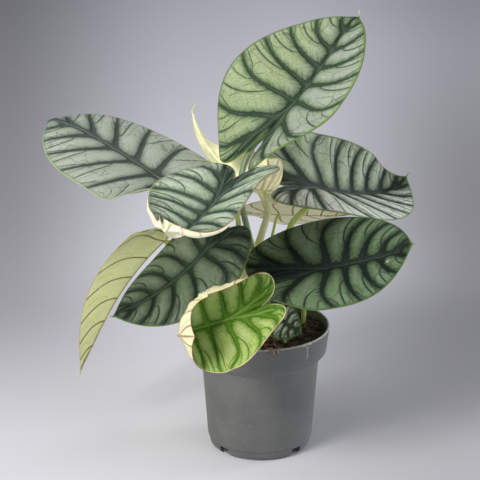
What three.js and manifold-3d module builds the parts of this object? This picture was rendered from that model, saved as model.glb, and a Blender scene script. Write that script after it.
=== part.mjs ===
// Potted silver dragon alocasia: peltate leaves on slender stems, dark soil, plain round nursery pot.
// Millimetres, +Z up. The pot axis is the Z axis and the pot stands on Z = 0; -Y is the front.
import * as THREE from 'three';
import { mergeVertices } from 'three/addons/utils/BufferGeometryUtils.js';
import Module from 'manifold-3d';

const wasm = await Module();
wasm.setup();

// Pot and soil.
const POT_HEIGHT = 110;
const RIM_RADIUS = 60;
const COLLAR_DROP = 22;
const COLLAR_FOOT_RADIUS = 57;
const BODY_TOP_RADIUS = 50.5;
const FOOT_RADIUS = 40.5;
const POT_WALL = 1.8;
const FLOOR_THICKNESS = 2.5;
const SOIL_LEVEL = 100;
const SEAT_GAP = 0.3;
const POT_SIDES = 56;

// Leaves.
const BLADE_THICKNESS = 0.8;
const EDGE_THICKNESS = 0.6;
const RIB_DEPTH = 0.9;
const STEM_SIDES = 8;
const STEM_STEP = 8;
const STEM_DEPTH_IN_SOIL = 14;

const rad = THREE.MathUtils.degToRad;
const clamp01 = (t) => Math.min(1, Math.max(0, t));

// One entry per leaf. front, back and half are the blade's reach ahead of the stem joint, behind it
// and to either side; sinus is how far back the two lobes stay joined, lobe where each lobe ends.
// heading, pitch and roll set the blade at the joint; arch, tip, backArch and sway bend the midrib;
// fold and curl are the cross-section's angles at the lobes, at the joint and at the apex.
const LEAVES = {
  crown: {
    at: [28.1, 27, 298.2], heading: 36, pitch: 41, roll: 8, front: 95, back: 73, half: 62,
    sinus: 0.45, shoulder: 0.77, lobe: 0.41, arch: 11, tip: -29, tipAt: 0.66, backArch: -6, sway: -2,
    right: { fold: [36, 17, 14], curl: [-1, -3, 0], power: 1.8, lobe: 0.36 },
    left: {
      fold: [-10, 35, 25], curl: [-9, -6, 2], power: 1.8, width: 1.02, shoulder: 0.62, lobe: 0.49, gape: 0.2,
    },
    laterals: 5, bulge: 2.2, color: 0x9db48c,
    stem: {
      through: [[8, 24, 100], [2, 9, 150], [-10, 4, 190], [-17, 7, 225], [-14, 13, 248], [-4, 20, 265],
        [15, 23, 279]],
      radius: [3, 2.2], color: 0x7f9a55,
    },
  },
  left: {
    at: [-89.7, 19, 237.4], heading: 141, pitch: 19, roll: -3, front: 122, back: 54, half: 65,
    sinus: 0.6, shoulder: 0.84, lobe: 0.42, arch: -1, tip: -26, tipAt: 0.58, backArch: -4, sway: -9,
    right: { fold: [13, 5, 2], curl: [-21, -21, -21], power: 1.6, shoulder: 0.76, blunt: 0.2 },
    left: { fold: [37, 5, -9], curl: [-10, -13, -18], power: 1.6, width: 1.02, blunt: 0.2 },
    laterals: 5, bulge: 2, color: 0xa9b5a3,
    stem: {
      through: [[-14, 4, 100], [-24, 6, 151], [-28, 12, 191], [-37, 11, 216], [-66, 8, 221]],
      radius: [2.8, 2.1], color: 0x8fa65c,
    },
  },
  centre: {
    at: [-39, -74, 241], heading: 240, pitch: -19, roll: 0, front: 93, back: 55, half: 56,
    sinus: 0.63, shoulder: 0.78, lobe: 0.4, arch: 22, tip: 79, tipAt: 0.41, backArch: 0, sway: -1,
    right: { fold: [-3, 2, 33], curl: [4, 12, 34], power: 0.7, shoulder: 0.18 },
    left: { fold: [12, 23, 6], curl: [24, 24, 27], power: 1.6 },
    laterals: 6, bulge: 2.6, color: 0x9fb39a,
    stem: {
      through: [[-8, -2, 100], [-19, -6, 150], [-20, -8, 180], [-19, -8, 206], [-27, -30, 226]],
      radius: [2.7, 2], color: 0x93a860,
    },
  },
  right_upper: {
    at: [53.4, 47, 215.5], heading: 33, pitch: -21, roll: 14, front: 105, back: 59, half: 59,
    sinus: 0.58, shoulder: 0.82, lobe: 0.47, arch: 19, tip: 62, tipAt: 0.73, backArch: -27, sway: -18,
    right: { fold: [9, 11, 7], curl: [-12, -13, -10], power: 1.8 },
    left: { fold: [14, 31, 42], curl: [5, 5, 15], power: 1.6 },
    laterals: 6, bulge: 2, color: 0x97a89a,
    stem: {
      through: [[20, 16, 100], [20, 25, 150], [27, 34, 188], [40, 40, 201]],
      radius: [3.2, 2.6], color: 0x86a04d,
    },
  },
  right_lower: {
    at: [54.4, -42, 175.9], heading: -9, pitch: 13, roll: 28, front: 79, back: 70, half: 54,
    sinus: 0.85, shoulder: 0.76, lobe: 0.47, arch: 20, tip: 23, tipAt: 0.62, backArch: -8, sway: 9,
    right: { fold: [38, 11, -1], curl: [1, -3, -4], power: 1.8 },
    left: { fold: [10, 15, 4], curl: [-20, -30, -26], power: 1.7 },
    laterals: 5, bulge: 2.2, color: 0x5f7a5c,
    stem: {
      through: [[38, 21, 100], [38, 14, 119], [42, -3, 142], [49, -26, 164]],
      radius: [2.2, 2], color: 0x9bb061,
    },
  },
  left_lower: {
    at: [-46.9, -26, 184.1], heading: 197, pitch: -46, roll: -12, front: 94, back: 37, half: 52,
    sinus: 0.72, shoulder: 0.76, lobe: 0.41, arch: 24, tip: 2, tipAt: 0.6, backArch: -16, sway: 12,
    right: { fold: [6, 7, 3], curl: [-26, -26, -32], power: 1.6 },
    left: { fold: [12, 3, -3], curl: [-23, -23, -22], power: 1.5 },
    laterals: 5, bulge: 2, color: 0x6c8070,
    stem: {
      through: [[-6, -14, 100], [-14, -17, 141], [-32, -20, 168]],
      radius: [2.4, 1.9], color: 0x8fa65c,
    },
  },
  hanging: {
    at: [-83, 28, 176], heading: 164, pitch: -45, roll: 23, front: 142, back: 33, half: 50,
    sinus: 0.6, shoulder: 0.69, lobe: 0.43, arch: -41, tip: 6, tipAt: 0.57, backArch: -1, sway: -18,
    right: { fold: [12, 38, 19], curl: [-13, -13, -7], power: 1.8 },
    left: { fold: [-2, 11, 13], curl: [-22, -17, -6], power: 1.8 },
    laterals: 6, bulge: 1, color: 0xb9c08a,
    stem: {
      through: [[-22, 22, 100], [-30, 30, 140], [-56, 32, 168]],
      radius: [2.6, 2], color: 0xa9b46a,
    },
  },
  front: {
    at: [-27.9, -84, 147.3], heading: 177, pitch: -21, roll: -73, front: 84, back: 51, half: 52,
    sinus: 0.61, shoulder: 0.8, lobe: 0.38, arch: 60, tip: 102, tipAt: 0, backArch: 5, sway: 17,
    right: { fold: [10, 2, 18], curl: [134, 131, 123], power: 1.5 },
    left: { fold: [50, 28, 15], curl: [37, 34, 32], power: 1.1 },
    laterals: 5, bulge: 1.4, color: 0x8fb43c,
    stem: {
      through: [[0, -14, 100], [-4, -33, 127], [-16, -61, 145]],
      radius: [2.2, 1.9], color: 0xb5c46a,
    },
  },
  back: {
    at: [17.7, 93, 178.5], heading: -10, pitch: 2, roll: -29, front: 65, back: 43, half: 41,
    sinus: 0.7, shoulder: 0.72, lobe: 0.42, arch: 0, tip: 2, tipAt: 0.6, backArch: -8, sway: 2,
    right: { fold: [1, 8, 19], curl: [-7, -6, 2], power: 1.8 },
    left: { fold: [14, -2, 7], curl: [-2, -3, 1], power: 1.8 },
    laterals: 5, bulge: 0.8, color: 0xc6c68f,
    stem: {
      through: [[-1, 40, 100], [4, 56, 139], [12, 78, 165], [15, 87, 175]],
      radius: [1.8, 1.3], color: 0x7fa02f,
    },
  },
  young: {
    at: [1, 29, 220.5], heading: 160, pitch: 18, roll: 66, front: 107, back: 14.5, half: 38.5,
    sinus: 0.6, shoulder: 0.7, lobe: 0.45, arch: 57, tip: -6, tipAt: 0.64, backArch: -1, sway: -7,
    right: { fold: [12, 26, -6], curl: [60, 60, 80], power: 1.8, width: 0.5 },
    left: { fold: [19, -4, 159], curl: [18, 17, 27], power: 1.8, shoulder: 0.05 },
    laterals: 5, bulge: 0.6, color: 0xdcdca6,
    stem: {
      through: [[-18, 14, 100], [-11, 21, 158], [-2, 23, 174], [2, 24, 186], [6, 25, 201], [4, 20, 212]],
      radius: [4.2, 2.6], color: 0xcfd196,
    },
  },
  small: {
    at: [18, -32, 126], heading: -51, pitch: -11, roll: 60, front: 22, back: 16, half: 17,
    sinus: 0.6, shoulder: 0.72, lobe: 0.42, arch: -16, tip: -7, tipAt: 0.6, backArch: -10, sway: 0,
    right: { fold: [12, 15, 13], curl: [-10, -10, -4], power: 1.8 },
    left: { fold: [12, 23, 13], curl: [-6, -6, 0], power: 1.8 },
    laterals: 4, bulge: 0.7, color: 0x66786c,
    stem: {
      through: [[21, -22, 100], [21, -24, 112]],
      radius: [1.5, 1.2], color: 0x8fa65c,
    },
  },
};

// A point of a cubic curve through four plane points.
function cubic(points, t) {
  const s = 1 - t;
  const w = [s * s * s, 3 * s * s * t, 3 * s * t * t, t * t * t];
  return [0, 1].map((k) => points.reduce((sum, point, i) => sum + w[i] * point[k], 0));
}

// Reach of one half of a blade. A half may be narrower, rounder or blunter at the apex, and its lobe
// shorter, set further out or cut away along its inner edge.
function reach(leaf, side) {
  const own = side > 0 ? leaf.right : leaf.left;
  const { width = 1, length = 1, lobe = leaf.lobe, shoulder = leaf.shoulder } = own;
  const { gape = 0, blunt = 0.06 } = own;
  const half = leaf.half * width;
  return { half, back: leaf.back * length, lobe: lobe * half, shoulder, gape, blunt };
}

// Half of the flat outline: 0 at the apex, 1 at the widest place, 2 at the lobe's end, 3 at the sinus.
function outline(leaf, side, place) {
  const { front } = leaf;
  const { half, back, lobe, shoulder, gape, blunt } = reach(leaf, side);
  const notch = leaf.sinus * leaf.back;
  const wide = -0.02 * front;
  const pieces = [
    [[0, front], [blunt * half, 0.93 * front], [half, shoulder * front], [half, wide]],
    [[half, wide], [half, 0.45 * wide - 0.55 * back], [0.48 * lobe + 0.52 * half, -back], [lobe, -back]],
    [[lobe, -back], [(0.45 + gape) * lobe, -back],
      [(0.1 + gape) * lobe, -0.55 * back - 0.45 * notch], [0, -notch]],
  ];
  const piece = Math.min(2, Math.floor(place));
  return cubic(pieces[piece], place - piece);
}

// Rows of the flat half blade. Whole numbers of the row position are side veins: they leave the
// midrib ahead of the stem joint, then the lobe's own rib, and run out to the edge.
function rowPositions(laterals) {
  const rows = [];
  for (let i = 0; i <= 2 * laterals; i++) rows.push(i / 2);
  for (let i = 1; i <= 6; i++) rows.push(laterals + i / 2);
  for (let i = 1; i <= 6; i++) rows.push(laterals + 3 + i / 3);
  return rows;
}

function flatPoint(leaf, side, row, across) {
  const n = leaf.laterals;
  const { back, lobe } = reach(leaf, side);
  const along = clamp01(row / n);
  const down = row <= n + 3 ? clamp01((row - n) / 3) : clamp01(1 - (row - n - 3) / 2);
  const start = [
    0.55 * lobe * down ** 1.3,
    row <= n ? leaf.front * (1 - along ** 0.95) : -0.8 * back * down,
  ];
  const place = row <= n ? 0.93 * along ** 0.85
    : row <= n + 3 ? 0.93 + 1.07 * (row - n) / 3 : 2 + (row - n - 3) / 2;
  const end = outline(leaf, side, Math.min(3, place));
  const bow = clamp01(1 - (row - n) / 2);
  const lean = [0.5 + 0.06 * bow, 0.5 - 0.12 * bow];
  const s = 1 - across;
  return [0, 1].map((k) => s * s * start[k] + 2 * s * across * (start[k] + lean[k] * (end[k] - start[k]))
    + across * across * end[k]);
}

// Blend of three values held at the lobes, at the stem joint and at the apex.
function alongBlade(values, y, leaf) {
  const [lobes, joint, apex] = values;
  const t = y >= 0 ? clamp01(y / leaf.front) : clamp01(-y / leaf.back);
  const ease = t * t * (3 - 2 * t);
  return joint + ((y >= 0 ? apex : lobes) - joint) * ease;
}

// Bends a flat blade point: along the midrib's arch, then across by fold and curl.
function bentPoint(leaf, side, x, y) {
  const slope = (v) => rad(v >= 0
    ? leaf.arch * v / leaf.front
      + leaf.tip * clamp01((v / leaf.front - leaf.tipAt) / (1 - leaf.tipAt)) ** 1.3
    : leaf.backArch * v / leaf.back);
  const turn = (v) => rad(leaf.sway * (v >= 0 ? v / leaf.front : 0.5 * v / leaf.back));
  const spot = new THREE.Vector3();
  const steps = 24;
  for (let i = 0; i < steps; i++) {
    const v = y * (i + 0.5) / steps;
    const a = slope(v);
    const b = turn(v);
    spot.add(new THREE.Vector3(Math.cos(a) * Math.sin(b), Math.cos(a) * Math.cos(b), Math.sin(a))
      .multiplyScalar(y / steps));
  }
  const a = slope(y);
  const b = turn(y);
  const ahead = new THREE.Vector3(Math.cos(a) * Math.sin(b), Math.cos(a) * Math.cos(b), Math.sin(a));
  const up = new THREE.Vector3(-Math.sin(a) * Math.sin(b), -Math.sin(a) * Math.cos(b), Math.cos(a));
  const right = new THREE.Vector3().crossVectors(ahead, up);
  const half = side > 0 ? leaf.right : leaf.left;
  const fold = rad(alongBlade(half.fold, y, leaf));
  const curl = rad(alongBlade(half.curl, y, leaf));
  for (let i = 0; i < 10; i++) {
    const angle = fold + curl * (x * (i + 0.5) / 10 / leaf.half) ** half.power;
    spot.addScaledVector(right, side * Math.cos(angle) * x / 10)
      .addScaledVector(up, Math.sin(angle) * x / 10);
  }
  return spot;
}

// Right, forward and up directions of a blade at its stem joint.
function bladeFrame(leaf) {
  const [h, p, r] = [leaf.heading, leaf.pitch, leaf.roll].map(rad);
  const ahead = new THREE.Vector3(Math.cos(h) * Math.cos(p), Math.sin(h) * Math.cos(p), Math.sin(p));
  const level = new THREE.Vector3(-Math.cos(h) * Math.sin(p), -Math.sin(h) * Math.sin(p), Math.cos(p));
  const up = level.clone().multiplyScalar(Math.cos(r))
    .addScaledVector(new THREE.Vector3().crossVectors(ahead, level), Math.sin(r));
  return { ahead, up, right: new THREE.Vector3().crossVectors(ahead, up) };
}

// A blade: two waved halves, raised between the side veins, ribbed below, with one thin edge all round.
function blade(leaf) {
  const columns = leaf.laterals > 4 ? [0, 0.07, 0.36, 0.7, 1] : [0, 0.35, 0.7, 1];
  const rows = rowPositions(leaf.laterals);
  const { right, ahead, up } = bladeFrame(leaf);
  const place = new THREE.Matrix4().makeBasis(right, ahead, up).setPosition(...leaf.at);
  const points = [];
  const ribs = [];
  const faces = [];
  for (const side of [1, -1]) {
    const first = points.length / 3;
    for (const row of rows) {
      for (const across of columns) {
        const [x, y] = flatPoint(leaf, side, row, across);
        const point = bentPoint(leaf, side, x, y);
        const along = bentPoint(leaf, side, x, y + 1).sub(point);
        const aside = bentPoint(leaf, side, x + 1, y).sub(point).multiplyScalar(side);
        const wave = Math.abs(Math.sin(Math.PI * row)) ** 0.7;
        const lift = across > 0 && across < 1 ? leaf.bulge * wave * Math.sin(Math.PI * across) ** 0.6 : 0;
        point.addScaledVector(aside.cross(along).normalize(), lift);
        points.push(...point.applyMatrix4(place));
        ribs.push(across === 0 && row > 0 ? 1 : 0);
      }
    }
    const m = columns.length;
    for (let i = 0; i < rows.length - 1; i++) {
      for (let j = 0; j < m - 1; j++) {
        const a = first + i * m + j;
        const [b, c, d] = [a + m, a + m + 1, a + 1];
        faces.push(...(side > 0 ? [a, b, d, b, c, d] : [a, d, b, b, d, c]));
      }
    }
  }
  const sheet = new THREE.BufferGeometry();
  sheet.setAttribute('position', new THREE.Float32BufferAttribute(points, 3));
  sheet.setAttribute('rib', new THREE.Float32BufferAttribute(ribs, 1));
  sheet.setIndex(faces);
  return thicken(mergeVertices(sheet, 1e-3));
}

// Gives a sheet its thickness: a lower face along the normals, deeper under the ribs, and a closed edge.
function thicken(sheet) {
  sheet.computeVertexNormals();
  const { position, normal, rib } = sheet.attributes;
  const whole = [];
  for (let i = 0; i < sheet.index.count; i += 3) {
    const face = [0, 1, 2].map((k) => sheet.index.getX(i + k));
    if (new Set(face).size === 3) whole.push(face);
  }
  const directed = new Map();
  for (const face of whole) {
    face.forEach((a, k) => directed.set(a + '>' + face[(k + 1) % 3], [a, face[(k + 1) % 3]]));
  }
  const rim = [...directed.values()].filter(([a, b]) => !directed.has(b + '>' + a));
  const onRim = new Set(rim.flat());
  const count = position.count;
  const points = [...position.array];
  for (let i = 0; i < count; i++) {
    const depth = (onRim.has(i) ? EDGE_THICKNESS : BLADE_THICKNESS) + rib.getX(i) * RIB_DEPTH;
    points.push(position.getX(i) - depth * normal.getX(i), position.getY(i) - depth * normal.getY(i),
      position.getZ(i) - depth * normal.getZ(i));
  }
  const faces = [];
  for (const [a, b, c] of whole) faces.push(a, b, c, a + count, c + count, b + count);
  for (const [a, b] of rim) faces.push(b, a, a + count, b, a + count, b + count);
  return solidFrom(points, faces);
}

function solidFrom(points, faces) {
  const solid = new THREE.BufferGeometry();
  solid.setAttribute('position', new THREE.Float32BufferAttribute(points, 3));
  solid.setIndex(faces);
  return solid;
}

// A stem: upright in its hole in the soil, then bent through its points to just below its blade. It
// thins towards the blade, and its top is cut parallel to the blade.
function stem(leaf) {
  const { through, radius } = leaf.stem;
  const { up } = bladeFrame(leaf);
  const [x, y] = through[0];
  const foot = new THREE.Vector3(x, y, SOIL_LEVEL - STEM_DEPTH_IN_SOIL);
  const neck = new THREE.Vector3(x, y, SOIL_LEVEL + 4);
  const below = BLADE_THICKNESS + RIB_DEPTH + 2 * SEAT_GAP;
  const top = new THREE.Vector3(...leaf.at).addScaledVector(up, -below);
  const bends = [neck, ...through.slice(1).map((p) => new THREE.Vector3(...p)), top];
  const path = new THREE.CurvePath();
  path.add(new THREE.LineCurve3(foot, neck));
  path.add(new THREE.CatmullRomCurve3(bends, false, 'centripetal'));
  const steps = Math.ceil(path.getLength() / STEM_STEP);
  const section = new THREE.Shape(Array.from({ length: STEM_SIDES }, (_, k) => {
    const angle = 2 * Math.PI * k / STEM_SIDES;
    return new THREE.Vector2(Math.cos(angle), Math.sin(angle));
  }));
  const tube = new THREE.ExtrudeGeometry(section, { steps, extrudePath: path, bevelEnabled: false });
  const spots = path.getSpacedPoints(steps);
  const ahead = path.getTangentAt(1);
  const corners = tube.attributes.position;
  const corner = new THREE.Vector3();
  for (let i = 0; i < corners.count; i++) {
    corner.fromBufferAttribute(corners, i);
    const away = spots.map((spot) => spot.distanceToSquared(corner));
    const station = away.indexOf(Math.min(...away));
    corner.sub(spots[station]).multiplyScalar(THREE.MathUtils.lerp(...radius, station / steps));
    if (station === steps) corner.addScaledVector(ahead, -corner.dot(up) / ahead.dot(up));
    corners.setXYZ(i, ...corner.add(spots[station]));
  }
  tube.deleteAttribute('normal');
  tube.deleteAttribute('uv');
  return mergeVertices(tube, 1e-4);
}

function toSolid(geometry) {
  const bare = geometry.clone();
  bare.deleteAttribute('normal');
  bare.deleteAttribute('uv');
  const merged = mergeVertices(bare, 1e-4);
  return new wasm.Manifold(new wasm.Mesh({
    numProp: 3,
    vertProperties: new Float32Array(merged.attributes.position.array),
    triVerts: new Uint32Array(merged.index.array),
  }));
}

function fromSolid(solid) {
  const mesh = solid.getMesh();
  return solidFrom([...mesh.vertProperties], [...mesh.triVerts]);
}

// Turns a closed profile of [radius, height] corners about the pot's axis.
function turned(profile, sides) {
  const corners = profile.map(([r, z]) => new THREE.Vector2(r, z));
  return new THREE.LatheGeometry(corners, sides).rotateX(Math.PI / 2);
}

// The pot: a tapered body under a wider collar, open at the top, with drainage notches at the foot.
function pot() {
  const collarFoot = POT_HEIGHT - COLLAR_DROP;
  const shell = turned([
    [0, 0], [FOOT_RADIUS, 0], [43.5, 2.5], [44.4, 8], [45.4, 9.5], [BODY_TOP_RADIUS, collarFoot - 7],
    [COLLAR_FOOT_RADIUS - 0.6, collarFoot - 0.8], [COLLAR_FOOT_RADIUS, collarFoot],
    [RIM_RADIUS - 0.4, POT_HEIGHT - 1], [RIM_RADIUS - 0.9, POT_HEIGHT],
    [RIM_RADIUS - POT_WALL - 0.4, POT_HEIGHT], [COLLAR_FOOT_RADIUS - POT_WALL, collarFoot + 1.5],
    [BODY_TOP_RADIUS - POT_WALL, collarFoot - 5.5], [42.2, 9.5], [40.6, FLOOR_THICKNESS],
    [0, FLOOR_THICKNESS],
  ], POT_SIDES);
  let solid = toSolid(shell);
  for (const degrees of [225, 315, 45, 135]) {
    const notch = new THREE.BoxGeometry(9, 10, 10).translate(43.5, 0, 0).rotateZ(rad(degrees));
    solid = solid.subtract(toSolid(notch));
  }
  return fromSolid(solid);
}

// The soil: a filled body with an uneven top, a little clear of the pot, with a plain hole per stem.
function soil() {
  const g = SEAT_GAP;
  const collarFoot = POT_HEIGHT - COLLAR_DROP;
  const inside = [
    [0, FLOOR_THICKNESS + g], [40.6 - g, FLOOR_THICKNESS + g], [42.2 - g, 9.5],
    [BODY_TOP_RADIUS - POT_WALL - g, collarFoot - 5.5],
    [COLLAR_FOOT_RADIUS - POT_WALL - g, collarFoot + 1.5],
    [56.1 - g, SOIL_LEVEL - 2], [50, SOIL_LEVEL], [40, SOIL_LEVEL], [28, SOIL_LEVEL], [15, SOIL_LEVEL],
    [0, SOIL_LEVEL],
  ];
  const body = turned(inside, POT_SIDES / 2);
  const spots = body.attributes.position;
  for (let i = 0; i < spots.count; i++) {
    const [x, y, z] = [spots.getX(i), spots.getY(i), spots.getZ(i)];
    if (z < SOIL_LEVEL - 0.5) continue;
    const swell = 0.9 * Math.sin(0.21 * x + 1) * Math.cos(0.17 * y);
    spots.setZ(i, z + swell + 0.6 * Math.sin(0.47 * x - 0.39 * y));
  }
  let solid = toSolid(body);
  for (const leaf of Object.values(LEAVES)) {
    const [x, y] = leaf.stem.through[0];
    const radius = leaf.stem.radius[0] + SEAT_GAP;
    const depth = STEM_DEPTH_IN_SOIL + SEAT_GAP;
    const outer = radius / Math.cos(Math.PI / 12);
    const hole = new THREE.CylinderGeometry(outer, outer, depth + 20, 12)
      .rotateX(Math.PI / 2).translate(x, y, SOIL_LEVEL - depth + (depth + 20) / 2);
    solid = solid.subtract(toSolid(hole));
  }
  return fromSolid(solid);
}

function piece(name, geometry, color, roughness) {
  const flat = geometry.toNonIndexed();
  flat.computeVertexNormals();
  const mesh = new THREE.Mesh(flat, new THREE.MeshStandardMaterial({ color, roughness }));
  mesh.name = name;
  return mesh;
}

const plant = new THREE.Group();
plant.name = 'potted_alocasia';
plant.add(piece('pot', pot(), 0x767877, 0.6), piece('soil', soil(), 0x2c211b, 0.95));
for (const [name, leaf] of Object.entries(LEAVES)) {
  plant.add(piece('blade_' + name, blade(leaf), leaf.color, 0.45));
  plant.add(piece('stem_' + name, stem(leaf), leaf.stem.color, 0.5));
}

export default plant;
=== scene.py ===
"""Potted silver dragon alocasia: puckered blades on slender stalks, dark soil and a grey nursery pot.

Lengths are metres in the shared frame: the pot stands on Z = 0 round the Z axis and -Y is the front.
"""
import logging
import math
from dataclasses import dataclass, field, replace
from enum import Enum

import bpy
import numpy as np
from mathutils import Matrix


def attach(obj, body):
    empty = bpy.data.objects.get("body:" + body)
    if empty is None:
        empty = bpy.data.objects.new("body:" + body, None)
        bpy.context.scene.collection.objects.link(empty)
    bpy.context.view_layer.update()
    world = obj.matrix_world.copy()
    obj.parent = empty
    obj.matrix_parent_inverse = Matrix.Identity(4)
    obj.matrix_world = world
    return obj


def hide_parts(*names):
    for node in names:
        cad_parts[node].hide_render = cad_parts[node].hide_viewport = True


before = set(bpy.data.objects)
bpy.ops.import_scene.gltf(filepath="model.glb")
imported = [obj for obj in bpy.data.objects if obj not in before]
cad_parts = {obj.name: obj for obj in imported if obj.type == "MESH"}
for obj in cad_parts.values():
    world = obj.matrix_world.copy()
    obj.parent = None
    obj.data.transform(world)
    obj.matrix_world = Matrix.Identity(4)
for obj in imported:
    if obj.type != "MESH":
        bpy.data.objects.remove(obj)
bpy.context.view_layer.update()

Array = np.ndarray
Triple = tuple[float, float, float]
Colour = tuple[float, float, float]
log = logging.getLogger("alocasia")

MM = 0.001
CM_IN_M = 100.0
MM_IN_CM = 10.0
TINY = 1e-12
BODY = "root"
SOIL_LEVEL = 0.1
STALK_DEPTH = 0.014
BLADE_THICKNESS = 0.0008
EDGE_THICKNESS = 0.0006
SOFT_ANGLE = math.radians(55)
# Panels between side veins on the outer and on the inner side of each lobe's rib.
LOBE_OUTER = 3
LOBE_INNER = 2
# Added to the panel numbers of a left half, so that its barbs differ from the right half's.
LEFT_PANELS = 40.0
PALE_SILVER = (224, 230, 218)


class Side(Enum):
    """Half of a blade, seen from the upper face with the apex ahead."""

    RIGHT = 1
    LEFT = -1

    @property
    def other(self) -> "Side":
        """Returns the half across the midrib."""
        return Side(-self.value)


def clamp(value: Array) -> Array:
    """Returns value held between 0 and 1."""
    return np.clip(value, 0.0, 1.0)


def smooth_step(low: float, high: float, value: Array) -> Array:
    """Returns 0 below low and 1 above high, with the cubic 3t^2 - 2t^3 between them."""
    t = clamp((value - low) / (high - low))
    return t * t * (3.0 - 2.0 * t)


def unit(vectors: Array) -> Array:
    """Returns the vectors scaled to length 1."""
    return vectors / np.maximum(np.linalg.norm(vectors, axis=-1, keepdims=True), TINY)


def run_along(path: Array) -> Array:
    """Returns how far along a path each of its points lies."""
    return np.concatenate([[0.0], np.cumsum(np.linalg.norm(np.diff(path, axis=0), axis=1))])


def distance_to_line(points: Array, line: Array) -> Array:
    """Distance of points from a broken line: the least distance to any of its straight stretches.

    Args:
        points: Array (..., 2) of flat points.
        line: Array (n, 2) of the line's corners.

    Returns:
        Array (...) of distances.
    """
    start, run = line[:-1], np.diff(line, axis=0)
    flat = points.reshape(-1, 1, 2)
    size = np.maximum((run * run).sum(-1), TINY**2)
    share = clamp(((flat - start) * run).sum(-1) / size)
    gap = np.linalg.norm(flat - start - share[..., None] * run, axis=-1)
    return gap.min(axis=1).reshape(points.shape[:-1])


def hashed(number: Array, seed: float) -> Array:
    """Returns an uneven value between 0 and 1 for each whole number: 0.5 + 0.5 sin(2.4 number + seed)."""
    return 0.5 + 0.5 * np.sin(2.4 * number + seed)


@dataclass
class Shell:
    """A closed triangle mesh in the making; slots are the finish slots of its faces, all 0 if not given."""

    points: Array
    faces: Array
    maps: dict[str, Array] = field(default_factory=dict)
    slots: Array | None = None

    def __post_init__(self) -> None:
        """Gives every face the first slot where none is set."""
        if self.slots is None:
            self.slots = np.zeros(len(self.faces), int)

    def welded(self) -> "Shell":
        """Joins points closer than a tenth of a micrometre and drops the faces that this flattens.

        Returns:
            The welded shell.
        """
        keys = np.round(self.points * 1e7).astype(np.int64)
        _, first, place = np.unique(keys, axis=0, return_index=True, return_inverse=True)
        faces = place.reshape(-1)[self.faces]
        whole = (faces != np.roll(faces, 1, axis=1)).all(axis=1)
        maps = {name: corners[whole] for name, corners in self.maps.items()}
        return Shell(self.points[first], faces[whole], maps, self.slots[whole])

    def placed(self, name: str) -> bpy.types.Object:
        """Puts the shell in the scene as an object at the origin, smooth except at its sharp edges.

        Args:
            name: Name of the object.

        Returns:
            The new object.
        """
        mesh = bpy.data.meshes.new(name)
        mesh.vertices.add(len(self.points))
        mesh.vertices.foreach_set("co", self.points.astype(np.float32).ravel())
        mesh.loops.add(3 * len(self.faces))
        mesh.loops.foreach_set("vertex_index", self.faces.astype(np.int32).ravel())
        mesh.polygons.add(len(self.faces))
        mesh.polygons.foreach_set("loop_start", 3 * np.arange(len(self.faces), dtype=np.int32))
        mesh.polygons.foreach_set("material_index", self.slots.astype(np.int32))
        mesh.update(calc_edges=True)
        for title, corners in self.maps.items():
            layer = mesh.uv_layers.new(name=title)
            layer.data.foreach_set("uv", corners.astype(np.float32).ravel())
        mesh.validate()
        mesh.shade_smooth()
        mesh.set_sharp_from_angle(angle=SOFT_ANGLE)
        thing = bpy.data.objects.new(name, mesh)
        bpy.context.scene.collection.objects.link(thing)
        return thing


def fused(shells: list[Shell]) -> Shell:
    """Sets several shells side by side in one.

    Args:
        shells: Shells that have UV maps of the same names.

    Returns:
        One shell that holds them all.
    """
    starts = np.cumsum([0] + [len(s.points) for s in shells[:-1]])
    faces = np.concatenate([s.faces + start for s, start in zip(shells, starts)])
    maps = {name: np.concatenate([s.maps[name] for s in shells]) for name in shells[0].maps}
    slots = np.concatenate([s.slots for s in shells])
    return Shell(np.concatenate([s.points for s in shells]), faces, maps, slots)


def strip_faces(lines: Array) -> Array:
    """Triangles between lines of points: every four neighbours are split in two.

    Args:
        lines: Array (rows, columns) of point numbers.

    Returns:
        Array (n, 3) of point numbers, facing the side from which rows rise to the left of columns.
    """
    a, b = lines[:-1, :-1], lines[1:, :-1]
    c, d = lines[1:, 1:], lines[:-1, 1:]
    return np.concatenate([np.stack([a, b, d], -1).reshape(-1, 3), np.stack([b, c, d], -1).reshape(-1, 3)])


def grid_faces(rows: int, columns: int, wrap: bool = False) -> Array:
    """Triangles of a grid of points stored row after row.

    Args:
        rows: Number of rows of points.
        columns: Number of points in a row.
        wrap: Whether the last column is joined to the first.

    Returns:
        Array (n, 3) of point numbers, facing as those of strip_faces do.
    """
    numbers = np.arange(rows * columns).reshape(rows, columns)
    return strip_faces(np.concatenate([numbers, numbers[:, :1]], axis=1) if wrap else numbers)


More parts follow.
